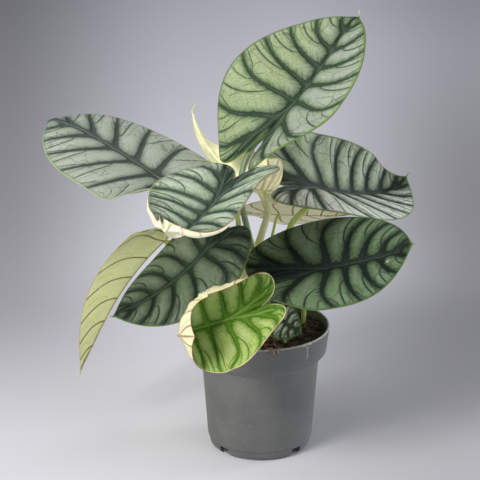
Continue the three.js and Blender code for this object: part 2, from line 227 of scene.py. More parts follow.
def swept(path: Array, radii: Array, sides: int) -> Shell:
    """A closed round rod along a path: a circle carried square to the path, with a flat cap at each end.

    The circle's zero mark stays as near as it can to the axis that the path follows least.

    Args:
        path: Array (n, 3) of points along the middle.
        radii: Array (n, 1) or (n, sides) of radii at each point.
        sides: Number of points round.

    Returns:
        The rod, with the map "rod": share of the way round and centimetres along.
    """
    ahead = unit(np.gradient(path, axis=0))
    guide = np.eye(3)[np.abs(ahead).max(axis=0).argmin()]
    across = unit(guide - ahead * (ahead @ guide)[:, None])
    beside = np.cross(ahead, across)
    angle = 2.0 * np.pi * np.arange(sides) / sides
    ring = across[:, None] * np.cos(angle)[:, None] + beside[:, None] * np.sin(angle)[:, None]
    rings = path[:, None] + ring * np.broadcast_to(radii, (len(path), sides))[..., None]
    points = np.concatenate([rings.reshape(-1, 3), path[:1], path[-1:]])
    n = len(path) * sides
    k = np.arange(sides)
    after = (k + 1) % sides
    ends = [
        np.stack([np.full(sides, n), after, k], -1),
        np.stack([np.full(sides, n + 1), n - sides + k, n - sides + after], -1),
    ]
    faces = np.concatenate([grid_faces(len(path), sides, True)[:, ::-1]] + ends)
    along = run_along(path) * CM_IN_M
    half_round = 0.5
    u = np.concatenate([np.tile(k / sides, len(path)), [half_round, half_round]])
    v = np.concatenate([np.repeat(along, sides), [along[0], along[-1]]])
    corners = np.stack([u[faces], v[faces]], -1)
    over_seam = np.ptp(corners[..., 0], axis=1) > half_round
    corners[..., 0] += over_seam[:, None] & (corners[..., 0] < half_round)
    return Shell(points, faces, {"rod": corners})


def smooth_path(points: Array, step: float, fineness: int = 60) -> Array:
    """A centripetal Catmull-Rom curve through points, stepped evenly along its length.

    Each stretch is the cubic whose end slopes come from the neighbouring points, weighed by the
    square roots of the distances between them; past each end the last stretch is repeated.

    Args:
        points: Array (n, 3) of the points.
        step: Distance between the points of the result.
        fineness: Number of points by which each stretch is measured.

    Returns:
        Array (m, 3) of points along the curve.
    """
    held = np.concatenate([[2 * points[0] - points[1]], points, [2 * points[-1] - points[-2]]])
    t = np.linspace(0.0, 1.0, fineness)[:, None]
    stretches = []
    for before, start, end, after in zip(held, held[1:], held[2:], held[3:]):
        d0, d1, d2 = (max(np.linalg.norm(b - a) ** 0.5, 1e-6) for a, b in
                      ((before, start), (start, end), (end, after)))
        m0 = ((start - before) / d0 - (end - before) / (d0 + d1) + (end - start) / d1) * d1
        m1 = ((end - start) / d1 - (after - start) / (d1 + d2) + (after - end) / d2) * d1
        stretches.append(
            start + m0 * t + (3 * (end - start) - 2 * m0 - m1) * t**2
            + (2 * (start - end) + m0 + m1) * t**3
        )
    fine = np.concatenate(stretches)
    run = run_along(fine)
    spots = np.linspace(0.0, run[-1], max(3, int(run[-1] / step) + 1))
    return np.stack([np.interp(spots, run, fine[:, k]) for k in range(3)], -1)


@dataclass(frozen=True)
class HalfForm:
    """Cross-section of one half of a blade, in degrees at the lobes, at the stalk joint and at the apex.

    fold is the slope where the half leaves the midrib, curl what the slope gains by the margin and
    power how late it gains it. width and length shorten the half and its lobe, shoulder and lobe stand
    in for the leaf's own, gape cuts the lobe's inner edge away, blunt rounds the apex and bow is how far
    the side veins swing back, as a share of the space between them. fork_start moves the forks' starts.
    """

    fold: Triple
    curl: Triple
    power: float
    width: float = 1.0
    length: float = 1.0
    shoulder: float | None = None
    lobe: float | None = None
    gape: float = 0.0
    blunt: float = 0.06
    bow: float = 0.22
    fork_start: float = 1.0


@dataclass(frozen=True)
class LeafForm:
    """Sizes of a leaf: its place, its flat outline, its bends and its stalk.

    front, back and half are the blade's reach ahead of the stalk joint, behind it and to either side;
    sinus is how far back the lobes stay joined and lobe where each ends. heading, pitch and roll set
    the blade; arch, tip, tip_at, back_arch and sway bend its midrib; through and radius are its stalk's.
    beak is the drip tip's run from the apex; wall is where on the right and left outline the wall below
    a cupped blade ends, and how deep it is.
    """

    name: str
    at: Triple
    heading: float
    pitch: float
    roll: float
    front: float
    back: float
    half: float
    sinus: float
    shoulder: float
    lobe: float
    arch: float
    tip: float
    tip_at: float
    back_arch: float
    sway: float
    right: HalfForm
    left: HalfForm
    laterals: int
    bulge: float
    through: tuple[Triple, ...]
    radius: tuple[float, float]
    beak: tuple[Triple, ...] = ()
    wall: Triple | None = None

    def half_form(self, side: Side) -> HalfForm:
        """Returns the cross-section of one half."""
        return self.right if side is Side.RIGHT else self.left

    def lobe_reach(self, side: Side) -> float:
        """Returns how far from the midrib the lobe of one half ends."""
        own = self.half_form(side)
        return (self.lobe if own.lobe is None else own.lobe) * self.half * own.width

    def axes(self) -> tuple[Array, Array, Array]:
        """Turns heading, pitch and roll into the blade's own axes at its stalk joint.

        Returns:
            Its right, forward and up directions.
        """
        h, p, r = (math.radians(v) for v in (self.heading, self.pitch, self.roll))
        ahead = np.array([math.cos(h) * math.cos(p), math.sin(h) * math.cos(p), math.sin(p)])
        level = np.array([-math.cos(h) * math.sin(p), -math.sin(h) * math.sin(p), math.cos(p)])
        up = level * math.cos(r) + np.cross(ahead, level) * math.sin(r)
        return np.cross(ahead, up), ahead, up


@dataclass(frozen=True)
class Fork:
    """A finer vein of every panel: where it leaves its side vein and how it swings into the panel.

    It leaves the panel's first vein, or its second if from_second, at the share start of the way across,
    and has gone reach of the panel's width by the margin; a lower bend makes it turn away faster. It
    shows as a line of that half width in millimetres, as strong as its strength.
    """

    from_second: bool
    start: float
    reach: float
    bend: float
    line: float
    strength: float


FORKS = (
    Fork(False, 0.40, 0.56, 0.40, 0.8, 1.0),
    Fork(True, 0.66, 0.20, 0.50, 0.65, 0.85),
    Fork(False, 0.66, 0.27, 0.45, 0.6, 0.75),
    Fork(False, 0.20, 0.60, 0.35, 0.45, 0.3),
)


@dataclass(frozen=True)
class HalfGrid:
    """One half of a blade on the rows and columns of its mesh.

    The arrays are vein positions, shares of the way across, flat points, bent points, directions out of
    the upper face, panel widths, and distances to the nearest rib and to the outline.
    """

    side: Side
    vein: Array
    across: Array
    flat: Array
    points: Array
    out: Array
    panel: Array
    rib_gap: Array
    edge_gap: Array


@dataclass
class Blade:
    """A leaf blade: two puckered halves joined on the midrib, with ribs below and one thin edge.

    Its mesh rows follow the side veins, so that the creases between its cushions are crisp. The fields
    are the mesh rows a panel, its columns, and the depths and half widths of ribs, veins and creases.
    The thickness grows from the edge's over edge_reach, and the ribs' depth over rib_reach. creased is
    the number of forks that crease the upper face, off_rib the share of the way across by which creases
    and veins have risen from the rib, and rim_bulge how far the rim stands out, in edge thicknesses.
    """

    form: LeafForm
    seed: float
    steps: int = 16
    columns: int = 40
    rib_depth: float = 0.0009
    rib_width: float = 0.0016
    vein_depth: float = 0.0004
    vein_width: float = 0.0011
    crease_depth: float = 0.0009
    crease_width: float = 0.0016
    crease_reach: float = 0.01
    creased: int = 3
    pucker: float = 1.3
    edge_reach: float = 0.004
    rib_reach: float = 0.02
    off_rib: float = 0.06
    rim_bulge: float = 0.4
    arch_steps: int = 24
    curl_steps: int = 10

    @property
    def last_row(self) -> int:
        """Returns the position of the row that ends at the sinus."""
        return self.form.laterals + LOBE_OUTER + LOBE_INNER

    def outline(self, side: Side, place: Array) -> Array:
        """Half of the flat outline, from 0 at the apex to 3 at the sinus.

        Three cubic curves follow one another: from the apex to the widest place at 1, on to the lobe's
        end at 2, and back to the sinus.

        Args:
            side: Half of the blade.
            place: Array of positions along the outline.

        Returns:
            Array (..., 2) of flat points.
        """
        form, own = self.form, self.form.half_form(side)
        half, back, front = form.half * own.width, form.back * own.length, form.front
        lobe, notch, wide = form.lobe_reach(side), form.sinus * form.back, -0.02 * front
        shoulder = form.shoulder if own.shoulder is None else own.shoulder
        lobe_side = [[half, 0.45 * wide - 0.55 * back], [0.48 * lobe + 0.52 * half, -back]]
        sinus_side = [
            [(0.45 + own.gape) * lobe, -back], [(0.1 + own.gape) * lobe, -0.55 * back - 0.45 * notch]
        ]
        corners = np.array([
            [[0, front], [own.blunt * half, 0.93 * front], [half, shoulder * front], [half, wide]],
            [[half, wide], *lobe_side, [lobe, -back]],
            [[lobe, -back], *sinus_side, [0, -notch]],
        ])
        piece = np.minimum(2, np.floor(place).astype(int))
        t = place - piece
        weights = np.stack([(1 - t) ** 3, 3 * (1 - t) ** 2 * t, 3 * (1 - t) * t * t, t**3], -1)
        return (weights[..., None] * corners[piece]).sum(-2)

    def swung(self, side: Side, vein: Array, across: Array) -> Array:
        """Row position of a point on a side vein, which swings back from the apex between its two ends.

        The row is raised by bow sin(pi across^1.15), and less so in the first rows and the last ones.

        Args:
            side: Half of the blade.
            vein: Array of vein positions, whole numbers on the side veins.
            across: Array of shares of the way across.

        Returns:
            Array of row positions.
        """
        fade = smooth_step(0.0, 2.6, vein) * smooth_step(self.last_row, self.last_row - 1.6, vein)
        return vein + self.form.half_form(side).bow * fade * np.sin(np.pi * across**1.15)

    def flat_point(self, side: Side, row: Array, across: Array) -> Array:
        """Place on the flat half blade of a row position and a share of the way across.

        Each row is a parabola from the midrib, or behind the joint from the lobe's own rib, to the
        outline. Along that rib a point lies at 0.55 d^1.3 of the lobe's reach aside and 0.8 d of the
        blade's back behind, d growing from 0 at the joint to 1 at the rib's end.

        Args:
            side: Half of the blade.
            row: Array of row positions, from 0 at the apex to last_row at the sinus.
            across: Array of shares from 0 at the rib to 1 at the outline.

        Returns:
            Array (..., 2) of flat points, x away from the midrib and y towards the apex.
        """
        form, n = self.form, self.form.laterals
        back = form.back * form.half_form(side).length
        along = clamp(row / n)
        past_joint, past_end = (row - n) / LOBE_OUTER, (row - n - LOBE_OUTER) / LOBE_INNER
        down = np.where(past_end <= 0.0, clamp(past_joint), clamp(1.0 - past_end))
        ahead = form.front * (1.0 - along**0.95)
        aside = 0.55 * form.lobe_reach(side) * down**1.3
        start = np.stack([aside, np.where(row <= n, ahead, -0.8 * back * down)], -1)
        joint_place = 0.93
        place = np.where(row <= n, joint_place * along**0.85, joint_place + (2.0 - joint_place) * past_joint)
        place = np.where(past_end > 0.0, 2.0 + past_end, place)
        end = self.outline(side, np.minimum(3.0, place))
        bow = clamp(1.0 - (row - n) / 2.0)
        lean = np.stack([0.5 + 0.06 * bow, 0.5 - 0.12 * bow], -1)
        q = across[..., None]
        return (1 - q) ** 2 * start + 2 * (1 - q) * q * (start + lean * (end - start)) + q * q * end

    def along_blade(self, values: Triple, y: Array) -> Array:
        """A value that is eased along the blade by a cubic step on each side of the joint.

        Args:
            values: The value at the lobes, at the joint and at the apex.
            y: Array of distances ahead of the joint.

        Returns:
            Array of values.
        """
        lobes, joint, apex = values
        t = smooth_step(0.0, 1.0, np.where(y >= 0, y / self.form.front, -y / self.form.back))
        return joint + (np.where(y >= 0, apex, lobes) - joint) * t

    def slope_and_turn(self, y: Array) -> tuple[Array, Array]:
        """Slope of the midrib and its turn to the side at a distance along it.

        The slope grows evenly to arch, and past tip_at by tip times the rest's share to the power 1.3.

        Args:
            y: Array of distances ahead of the joint.

        Returns:
            The slope and the turn in radians.
        """
        form = self.form
        share = y / form.front
        bent_tip = form.tip * clamp((share - form.tip_at) / (1.0 - form.tip_at)) ** 1.3
        slope = np.where(y >= 0, form.arch * share + bent_tip, form.back_arch * y / form.back)
        turn = form.sway * np.where(y >= 0, share, 0.5 * y / form.back)
        return np.radians(slope), np.radians(turn)

    def directions(self, y: Array) -> tuple[Array, Array]:
        """Directions of the midrib at a distance along it, from its slope and turn.

        Args:
            y: Array of distances ahead of the joint.

        Returns:
            The direction ahead and the direction up, square to it.
        """
        a, b = self.slope_and_turn(y)
        ahead = np.stack([np.cos(a) * np.sin(b), np.cos(a) * np.cos(b), np.sin(a)], -1)
        return ahead, np.stack([-np.sin(a) * np.sin(b), -np.sin(a) * np.cos(b), np.cos(a)], -1)

    def bent_point(self, side: Side, flat: Array) -> Array:
        """Bends flat points: along the midrib's arch, then across by fold and curl.

        The midrib's spot is the sum of short steps in its direction, and the way across from it is a
        sum of short steps whose slope grows from fold by curl times (distance / half) ^ power.

        Args:
            side: Half of the blade.
            flat: Array (..., 2) of flat points.

        Returns:
            Array (..., 3) of points in the blade's own axes.
        """
        x, y = flat[..., 0], flat[..., 1]
        spot = np.zeros(flat.shape[:-1] + (3,))
        for i in range(self.arch_steps):
            way, _ = self.directions(y * (i + 0.5) / self.arch_steps)
            spot += way * (y / self.arch_steps)[..., None]
        ahead, up = self.directions(y)
        right = np.cross(ahead, up)
        half_form = self.form.half_form(side)
        fold = np.radians(self.along_blade(half_form.fold, y))
        curl = np.radians(self.along_blade(half_form.curl, y))
        for i in range(self.curl_steps):
            share = clamp(x * (i + 0.5) / self.curl_steps / self.form.half)
            angle = fold + curl * share**half_form.power
            spot += right * (side.value * np.cos(angle) * x / self.curl_steps)[..., None]
            spot += up * (np.sin(angle) * x / self.curl_steps)[..., None]
        return spot

    def in_place(self, points: Array) -> Array:
        """Returns points of the blade's own axes in the shared frame."""
        return np.array(self.form.at) + points @ np.stack(self.form.axes())

    def apex(self) -> tuple[Array, Array]:
        """Finds the end of the midrib from its last two points, a millimetre apart.

        Returns:
            The midrib's last point and its direction there, in the shared frame.
        """
        ends = np.array([[0.0, self.form.front - MM], [0.0, self.form.front]])
        before, last = self.in_place(self.bent_point(Side.RIGHT, ends))
        return last, unit(last - before)

    def normals(self, side: Side, flat: Array, points: Array) -> Array:
        """Directions out of the upper face: the cross product of the bends a millimetre aside and ahead.

        Args:
            side: Half of the blade.
            flat: Array (..., 2) of flat points.
            points: Array (..., 3) of the same points, bent.

        Returns:
            Array (..., 3) of directions.
        """
        ahead = self.bent_point(side, flat + [0.0, MM]) - points
        aside = (self.bent_point(side, flat + [MM, 0.0]) - points) * side.value
        return unit(np.cross(aside, ahead))

    def rib_and_edge(self, side: Side, flat: Array) -> Array:
        """Distances to the nearest rib and to the outline of a half.

        Args:
            side: Half of the blade.
            flat: Array (rows, columns, 2) of flat points.

        Returns:
            Array (2, rows, columns): the distances to the ribs, then those to the outline.
        """
        lobe_rib = self.flat_point(side, self.form.laterals + np.linspace(0, LOBE_OUTER, 30), np.zeros(30))
        midrib = np.array([[0.0, 0.0], [0.0, self.form.front]])
        ribs = np.minimum(distance_to_line(flat, midrib), distance_to_line(flat, lobe_rib))
        return np.stack([ribs, distance_to_line(flat, self.outline(side, np.linspace(0.0, 3.0, 200)))])

    def panel_width(self, flat: Array, rows: Array) -> Array:
        """Width of the panel between two side veins: the blade's area per vein over the way across.

        Args:
            flat: Array (rows, columns, 2) of the flat points of the mesh.
            rows: Array of the vein positions of the rows.

        Returns:
            Array (rows, columns) of widths in metres.
        """
        down = np.gradient(flat, rows, axis=0)
        over = unit(np.gradient(flat, axis=1))
        return np.abs(down[..., 0] * over[..., 1] - down[..., 1] * over[..., 0])

    def fork_gaps(self, side: Side, number: Array, share: Array, across: Array, panel: Array) -> list[Array]:
        """Signed distances from the finer veins of a panel.

        Past its start a fork lies at reach t^bend of the panel's width, t growing from 0 at the start to
        1 at the margin. Before its start the value is the distance from where it starts.

        Args:
            side: Half of the blade.
            number: Array of the panels' numbers.
            share: Array of shares of the panel's width, from its first vein to its second.
            across: Array of shares of the way across.
            panel: Array of panel widths.

        Returns:
            One array of distances in metres for each fork.
        """
        form = self.form.half_form(side)
        gaps = []
        for place, fork in enumerate(FORKS):
            luck = self.seed + 3.0 * place + side.value
            start = fork.start * form.fork_start + 0.16 * (hashed(number, luck) - 0.5)
            reach = fork.reach * (0.8 + 0.4 * hashed(number, luck + 1.0))
            base = (1.0 - share if fork.from_second else share) * panel
            t = clamp((across - start) / (1.0 - start))
            root = np.hypot(base, (start - across) * self.form.half)
            gaps.append(np.where(across < start, root, base - reach * panel * t**fork.bend))
        return gaps

    def build(self) -> Shell:
        """Works out both faces and the edge of the blade.

        The two panels inside a lobe have as many rows as the three outside it, so that both sides of the
        lobe's rib share their points. On the midrib both halves take the lesser of their distances, so
        that they meet.

        Returns:
            The blade as one closed shell with the maps "veins", "near", "panel", "flat", "forks" and
            "twigs".
        """
        n = self.form.laterals
        lobe_rows = LOBE_OUTER * self.steps
        inner = n + LOBE_OUTER + LOBE_INNER * np.arange(1.0, lobe_rows + 1) / lobe_rows
        rows = np.concatenate([np.arange(n * self.steps + lobe_rows + 1) / self.steps, inner])
        even = np.linspace(0.0, 1.0, self.columns)
        across = 0.5 * (0.5 - 0.5 * np.cos(np.pi * even)) + 0.5 * even
        vein, q = np.meshgrid(rows, across, indexing="ij")
        sheets = []
        for side in Side:
            flat = self.flat_point(side, self.swung(side, vein, q), q)
            points = self.bent_point(side, flat)
            sheets.append((side, flat, points, self.normals(side, flat, points)))
        shared = unit(sheets[0][3] + sheets[1][3])
        shells = []
        for side, flat, points, out in sheets:
            ahead = rows <= n
            out[ahead, 0] = shared[ahead, 0]
            out[-1] = shared[-1]
            out[0] = out[0, 0]
            own = self.rib_and_edge(side, flat)
            both = np.minimum(own, self.rib_and_edge(side.other, flat))
            gaps = np.where(flat[..., 0] == 0.0, both, own)
            panel = self.panel_width(flat, rows)
            shells.append(self.half_shell(HalfGrid(side, vein, q, flat, points, out, panel, *gaps)))
        body = fused(shells).welded()
        body.points = self.in_place(body.points)
        return body

    def lift(self, half: HalfGrid) -> Array:
        """Height of the upper face over the bent sheet.

        Cushions between the side veins rise by bulge |sin(pi vein)|^0.65 sin(pi across)^0.6, and creases
        along the first forks sink by a bell curve of the distance from them.

        Args:
            half: Half of the blade.

        Returns:
            Array (rows, columns) of heights.
        """
        q, number = half.across, np.floor(half.vein)
        wave = np.abs(np.sin(np.pi * half.vein)) ** 0.65
        dome = np.where((q > 0) & (q < 1), np.sin(np.pi * q) ** 0.6, 0.0)
        forks = self.fork_gaps(half.side, number, half.vein - number, q, half.panel)[: self.creased]
        creases = np.minimum(sum(np.exp(-((gap / self.crease_width) ** 2)) for gap in forks), 1.0)
        fade = smooth_step(0.0, self.off_rib, q) * smooth_step(0.0, self.crease_reach, half.edge_gap)
        return wave * (self.pucker * self.form.bulge * dome - self.crease_depth * creases * fade)

    def thickness(self, half: HalfGrid) -> Array:
        """Thickness of the blade: thin at the edge, with a bell curve round every rib and side vein.

        Args:
            half: Half of the blade.

        Returns:
            Array (rows, columns) of thicknesses.
        """
        full = smooth_step(0.0, self.edge_reach, half.edge_gap)
        taper = smooth_step(0.0, self.rib_reach, half.edge_gap)
        vein_gap = np.abs(half.vein - np.round(half.vein)) * half.panel
        ribs = self.rib_depth * np.exp(-((half.rib_gap / self.rib_width) ** 2))
        veins = self.vein_depth * np.exp(-((vein_gap / self.vein_width) ** 2))
        veins = veins * smooth_step(0.0, self.off_rib, half.across)
        return EDGE_THICKNESS + (BLADE_THICKNESS - EDGE_THICKNESS) * full + (ribs + veins) * taper

    def half_shell(self, half: HalfGrid) -> Shell:
        """Upper face, under face and edge of one half, open along the midrib.

        The upper face is the bent sheet with its lift, and the under face lies the thickness below it.
        Between them the rim stands out a little from the outline.

        Args:
            half: Half of the blade.

        Returns:
            The half, in the blade's own axes.
        """
        points = half.points
        top = points + half.out * self.lift(half)[..., None]
        under = top - half.out * self.thickness(half)[..., None]
        rim = 0.5 * (top[:, -1] + under[:, -1])
        outward = unit(points[:, -1] - points[:, -2])
        rim[1:-1] += outward[1:-1] * (self.rim_bulge * EDGE_THICKNESS)
        rows, columns = half.vein.shape
        count = rows * columns
        net = grid_faces(rows, columns)
        edge_top = np.arange(rows) * columns + columns - 1
        edge = strip_faces(np.stack([edge_top, 2 * count + np.arange(rows), edge_top + count], -1))
        faces = np.concatenate([net, count + net[:, ::-1], edge])
        if half.side is Side.LEFT:
            faces = faces[:, ::-1]
        slots = np.concatenate([np.zeros(len(net), int), np.ones(len(net) + len(edge), int)])
        corners = np.concatenate([top.reshape(-1, 3), under.reshape(-1, 3), rim])
        return Shell(corners, faces, self.half_maps(half, faces), slots)

    def half_maps(self, half: HalfGrid, faces: Array) -> dict[str, Array]:
        """UV maps of one half, for its materials.

        Args:
            half: Half of the blade.
            faces: Array (n, 3) of point numbers: those of the upper grid, the under grid and the rim.

        Returns:
            "veins": shares of the panel and of the way across; "near": millimetres to the edge and the
            rib; "panel": its width in millimetres and its number; "flat": the flat place in centimetres;
            "forks" and "twigs": millimetres from each fork.
        """
        def corner(grid: Array) -> Array:
            """Returns a value of the grid at the corners of every face."""
            return np.concatenate([grid.ravel(), grid.ravel(), grid[:, -1]])[faces]

        number = np.floor(corner(half.vein).min(axis=1, keepdims=True) + 0.5 / self.steps)
        share, over, width = corner(half.vein) - number, corner(half.across), corner(half.panel)
        gaps = [gap / MM for gap in self.fork_gaps(half.side, number, share, over, width)]
        label = number + (LEFT_PANELS if half.side is Side.LEFT else 0.0) + 0 * share
        x, y = half.side.value * corner(half.flat[..., 0]), corner(half.flat[..., 1])
        return {
            "veins": np.stack([share, over], -1),
            "near": np.stack([corner(half.edge_gap), corner(half.rib_gap)], -1) / MM,
            "panel": np.stack([width / MM, label], -1),
            "flat": np.stack([x, y], -1) * CM_IN_M,
            "forks": np.stack(gaps[:2], -1),
            "twigs": np.stack(gaps[2:], -1),
        }


LEAVES = (
    LeafForm(
        name="crown", at=(0.0281, 0.027, 0.2982), heading=36, pitch=41, roll=8,
        front=0.095, back=0.073, half=0.062, sinus=0.45, shoulder=0.77, lobe=0.41,
        arch=11, tip=-29, tip_at=0.66, back_arch=-6, sway=-2,
        right=HalfForm((36, 17, 14), (-1, -3, 0), 1.8, lobe=0.36, bow=0.2),
        left=HalfForm(
            (-10, 35, 25), (-9, -6, 2), 1.8, width=1.02, shoulder=0.62, lobe=0.49, gape=0.2, bow=0.2
        ),
        laterals=5, bulge=0.0022,
        through=((0.008, 0.024, 0.1), (0.002, 0.009, 0.15), (-0.01, 0.004, 0.19),
                 (-0.017, 0.007, 0.225), (-0.014, 0.013, 0.248), (-0.004, 0.02, 0.265),
                 (0.015, 0.023, 0.279)),
        radius=(0.003, 0.0022), beak=((-0.0004, 0, 0.003), (-0.0006, 0, 0.0062)),
    ),
    LeafForm(
        name="left", at=(-0.0897, 0.019, 0.2374), heading=141, pitch=19, roll=-3,
        front=0.122, back=0.054, half=0.065, sinus=0.6, shoulder=0.84, lobe=0.42,
        arch=-1, tip=-26, tip_at=0.58, back_arch=-4, sway=-9,
        right=HalfForm((13, 5, 2), (-21, -21, -21), 1.6, shoulder=0.76, blunt=0.2, bow=-0.12),
        left=HalfForm((37, 5, -9), (-10, -13, -18), 1.6, width=1.02, blunt=0.2, bow=0.0),
        laterals=5, bulge=0.002,
        through=((-0.014, 0.004, 0.1), (-0.024, 0.006, 0.151), (-0.028, 0.012, 0.191),
                 (-0.037, 0.011, 0.216), (-0.066, 0.008, 0.221)),
        radius=(0.0028, 0.0021),
    ),
    LeafForm(
        name="centre", at=(-0.039, -0.074, 0.241), heading=240, pitch=-19, roll=0,
        front=0.093, back=0.055, half=0.056, sinus=0.63, shoulder=0.78, lobe=0.4,
        arch=22, tip=79, tip_at=0.41, back_arch=0, sway=-1,
        right=HalfForm((-3, 2, 33), (4, 12, 34), 0.7, shoulder=0.18, bow=0.2),
        left=HalfForm((12, 23, 6), (24, 24, 27), 1.6, bow=0.2),
        laterals=6, bulge=0.0026,
        through=((-0.008, -0.002, 0.1), (-0.019, -0.006, 0.15), (-0.02, -0.008, 0.18),
                 (-0.019, -0.008, 0.206), (-0.027, -0.03, 0.226)),
        radius=(0.0027, 0.002), wall=(0.93, 0.75, 0.0085),
    ),
    LeafForm(
        name="right_upper", at=(0.0534, 0.047, 0.2155), heading=33, pitch=-21, roll=14,
        front=0.105, back=0.059, half=0.059, sinus=0.58, shoulder=0.82, lobe=0.47,
        arch=19, tip=62, tip_at=0.73, back_arch=-27, sway=-18,
        right=HalfForm((9, 11, 7), (-12, -13, -10), 1.8, bow=0.1, fork_start=0.4),
        left=HalfForm((14, 31, 42), (5, 5, 15), 1.6, bow=0.2),
        laterals=6, bulge=0.002,
        through=((0.02, 0.016, 0.1), (0.02, 0.025, 0.15), (0.027, 0.034, 0.188), (0.04, 0.04, 0.201)),
        radius=(0.0032, 0.0026), beak=((0.0012, 0, 0.0022), (0.0034, 0, 0.004)),
    ),
    LeafForm(
        name="right_lower", at=(0.0544, -0.042, 0.1759), heading=-9, pitch=13, roll=28,
        front=0.079, back=0.07, half=0.054, sinus=0.85, shoulder=0.76, lobe=0.47,
        arch=20, tip=23, tip_at=0.62, back_arch=-8, sway=9,
        right=HalfForm((38, 11, -1), (1, -3, -4), 1.8, bow=0.2),
        left=HalfForm((10, 15, 4), (-20, -30, -26), 1.7, bow=0.2),
        laterals=5, bulge=0.0022,
        through=((0.038, 0.021, 0.1), (0.038, 0.014, 0.119), (0.042, -0.003, 0.142),
                 (0.049, -0.026, 0.164)),
        radius=(0.0022, 0.002), beak=((0.002, 0, -0.0004), (0.0042, 0, -0.0017)),
    ),
    LeafForm(
        name="left_lower", at=(-0.0469, -0.026, 0.1841), heading=197, pitch=-46, roll=-12,
        front=0.094, back=0.037, half=0.052, sinus=0.72, shoulder=0.76, lobe=0.41,
        arch=24, tip=2, tip_at=0.6, back_arch=-16, sway=12,
        right=HalfForm((6, 7, 3), (-26, -26, -32), 1.6),
        left=HalfForm((12, 3, -3), (-23, -23, -22), 1.5),
        laterals=5, bulge=0.002,
        through=((-0.006, -0.014, 0.1), (-0.014, -0.017, 0.141), (-0.032, -0.02, 0.168)),
        radius=(0.0024, 0.0019), beak=((-0.0024, 0, 0.0002), (-0.005, 0, 0)),
    ),
    LeafForm(
        name="hanging", at=(-0.083, 0.028, 0.176), heading=164, pitch=-45, roll=23,
        front=0.142, back=0.033, half=0.05, sinus=0.6, shoulder=0.69, lobe=0.43,
        arch=-41, tip=6, tip_at=0.57, back_arch=-1, sway=-18,
        right=HalfForm((12, 38, 19), (-13, -13, -7), 1.8),
        left=HalfForm((-2, 11, 13), (-22, -17, -6), 1.8),
        laterals=6, bulge=0.001,
        through=((-0.022, 0.022, 0.1), (-0.03, 0.03, 0.14), (-0.056, 0.032, 0.168)),
        radius=(0.0026, 0.002), beak=((0.0001, 0, -0.0014), (0.001, 0, -0.0026)),
    ),
    LeafForm(
        name="front", at=(-0.0279, -0.084, 0.1473), heading=177, pitch=-21, roll=-73,
        front=0.084, back=0.051, half=0.052, sinus=0.61, shoulder=0.8, lobe=0.38,
        arch=60, tip=102, tip_at=0, back_arch=5, sway=17,
        right=HalfForm((10, 2, 18), (134, 131, 123), 1.5, bow=0.28),
        left=HalfForm((50, 28, 15), (37, 34, 32), 1.1, bow=0.3),
        laterals=5, bulge=0.0014,
        through=((0, -0.014, 0.1), (-0.004, -0.033, 0.127), (-0.016, -0.061, 0.145)),
        radius=(0.0022, 0.0019),
    ),
    LeafForm(
        name="back", at=(0.0177, 0.093, 0.1785), heading=-10, pitch=2, roll=-29,
        front=0.065, back=0.043, half=0.041, sinus=0.7, shoulder=0.72, lobe=0.42,
        arch=0, tip=2, tip_at=0.6, back_arch=-8, sway=2,
        right=HalfForm((1, 8, 19), (-7, -6, 2), 1.8),
        left=HalfForm((14, -2, 7), (-2, -3, 1), 1.8),
        laterals=5, bulge=0.0008,
        through=((-0.001, 0.04, 0.1), (0.004, 0.056, 0.139), (0.012, 0.078, 0.165),
                 (0.015, 0.087, 0.175)),
        radius=(0.0018, 0.0013),
    ),
    LeafForm(
        name="young", at=(0.001, 0.029, 0.2205), heading=160, pitch=18, roll=66,
        front=0.107, back=0.0145, half=0.0385, sinus=0.6, shoulder=0.7, lobe=0.45,
        arch=57, tip=-6, tip_at=0.64, back_arch=-1, sway=-7,
        right=HalfForm((12, 26, -6), (60, 60, 80), 1.8, width=0.5),
        left=HalfForm((19, -4, 159), (18, 17, 27), 1.8, shoulder=0.05),
        laterals=5, bulge=0.0006,
        through=((-0.018, 0.014, 0.1), (-0.011, 0.021, 0.158), (-0.002, 0.023, 0.174),
                 (0.002, 0.024, 0.186), (0.006, 0.025, 0.201), (0.004, 0.02, 0.212)),
        radius=(0.0042, 0.0026), beak=((0.0012, 0, 0.0045), (0.0045, 0, 0.0072), (0.0085, 0, 0.0066)),
    ),
    LeafForm(
        name="small", at=(0.018, -0.032, 0.126), heading=-51, pitch=-11, roll=60,
        front=0.022, back=0.016, half=0.017, sinus=0.6, shoulder=0.72, lobe=0.42,
        arch=-16, tip=-7, tip_at=0.6, back_arch=-10, sway=0,
        right=HalfForm((12, 15, 13), (-10, -10, -4), 1.8),
        left=HalfForm((12, 23, 13), (-6, -6, 0), 1.8),
        laterals=4, bulge=0.0007,
        through=((0.021, -0.022, 0.1), (0.021, -0.024, 0.112)),
        radius=(0.0015, 0.0012),
    ),
)


def tint(colour: Colour) -> tuple[float, float, float, float]:
    """Turns a screen colour into the linear colour that sockets take, by the usual sRGB curve.

    Args:
        colour: Red, green and blue, 0 to 255.

    Returns:
        Linear red, green and blue, and 1 for alpha.
    """
    shares = [v / 255.0 for v in colour]
    linear = [s / 12.92 if s <= 0.04045 else ((s + 0.055) / 1.055) ** 2.4 for s in shares]
    return (linear[0], linear[1], linear[2], 1.0)


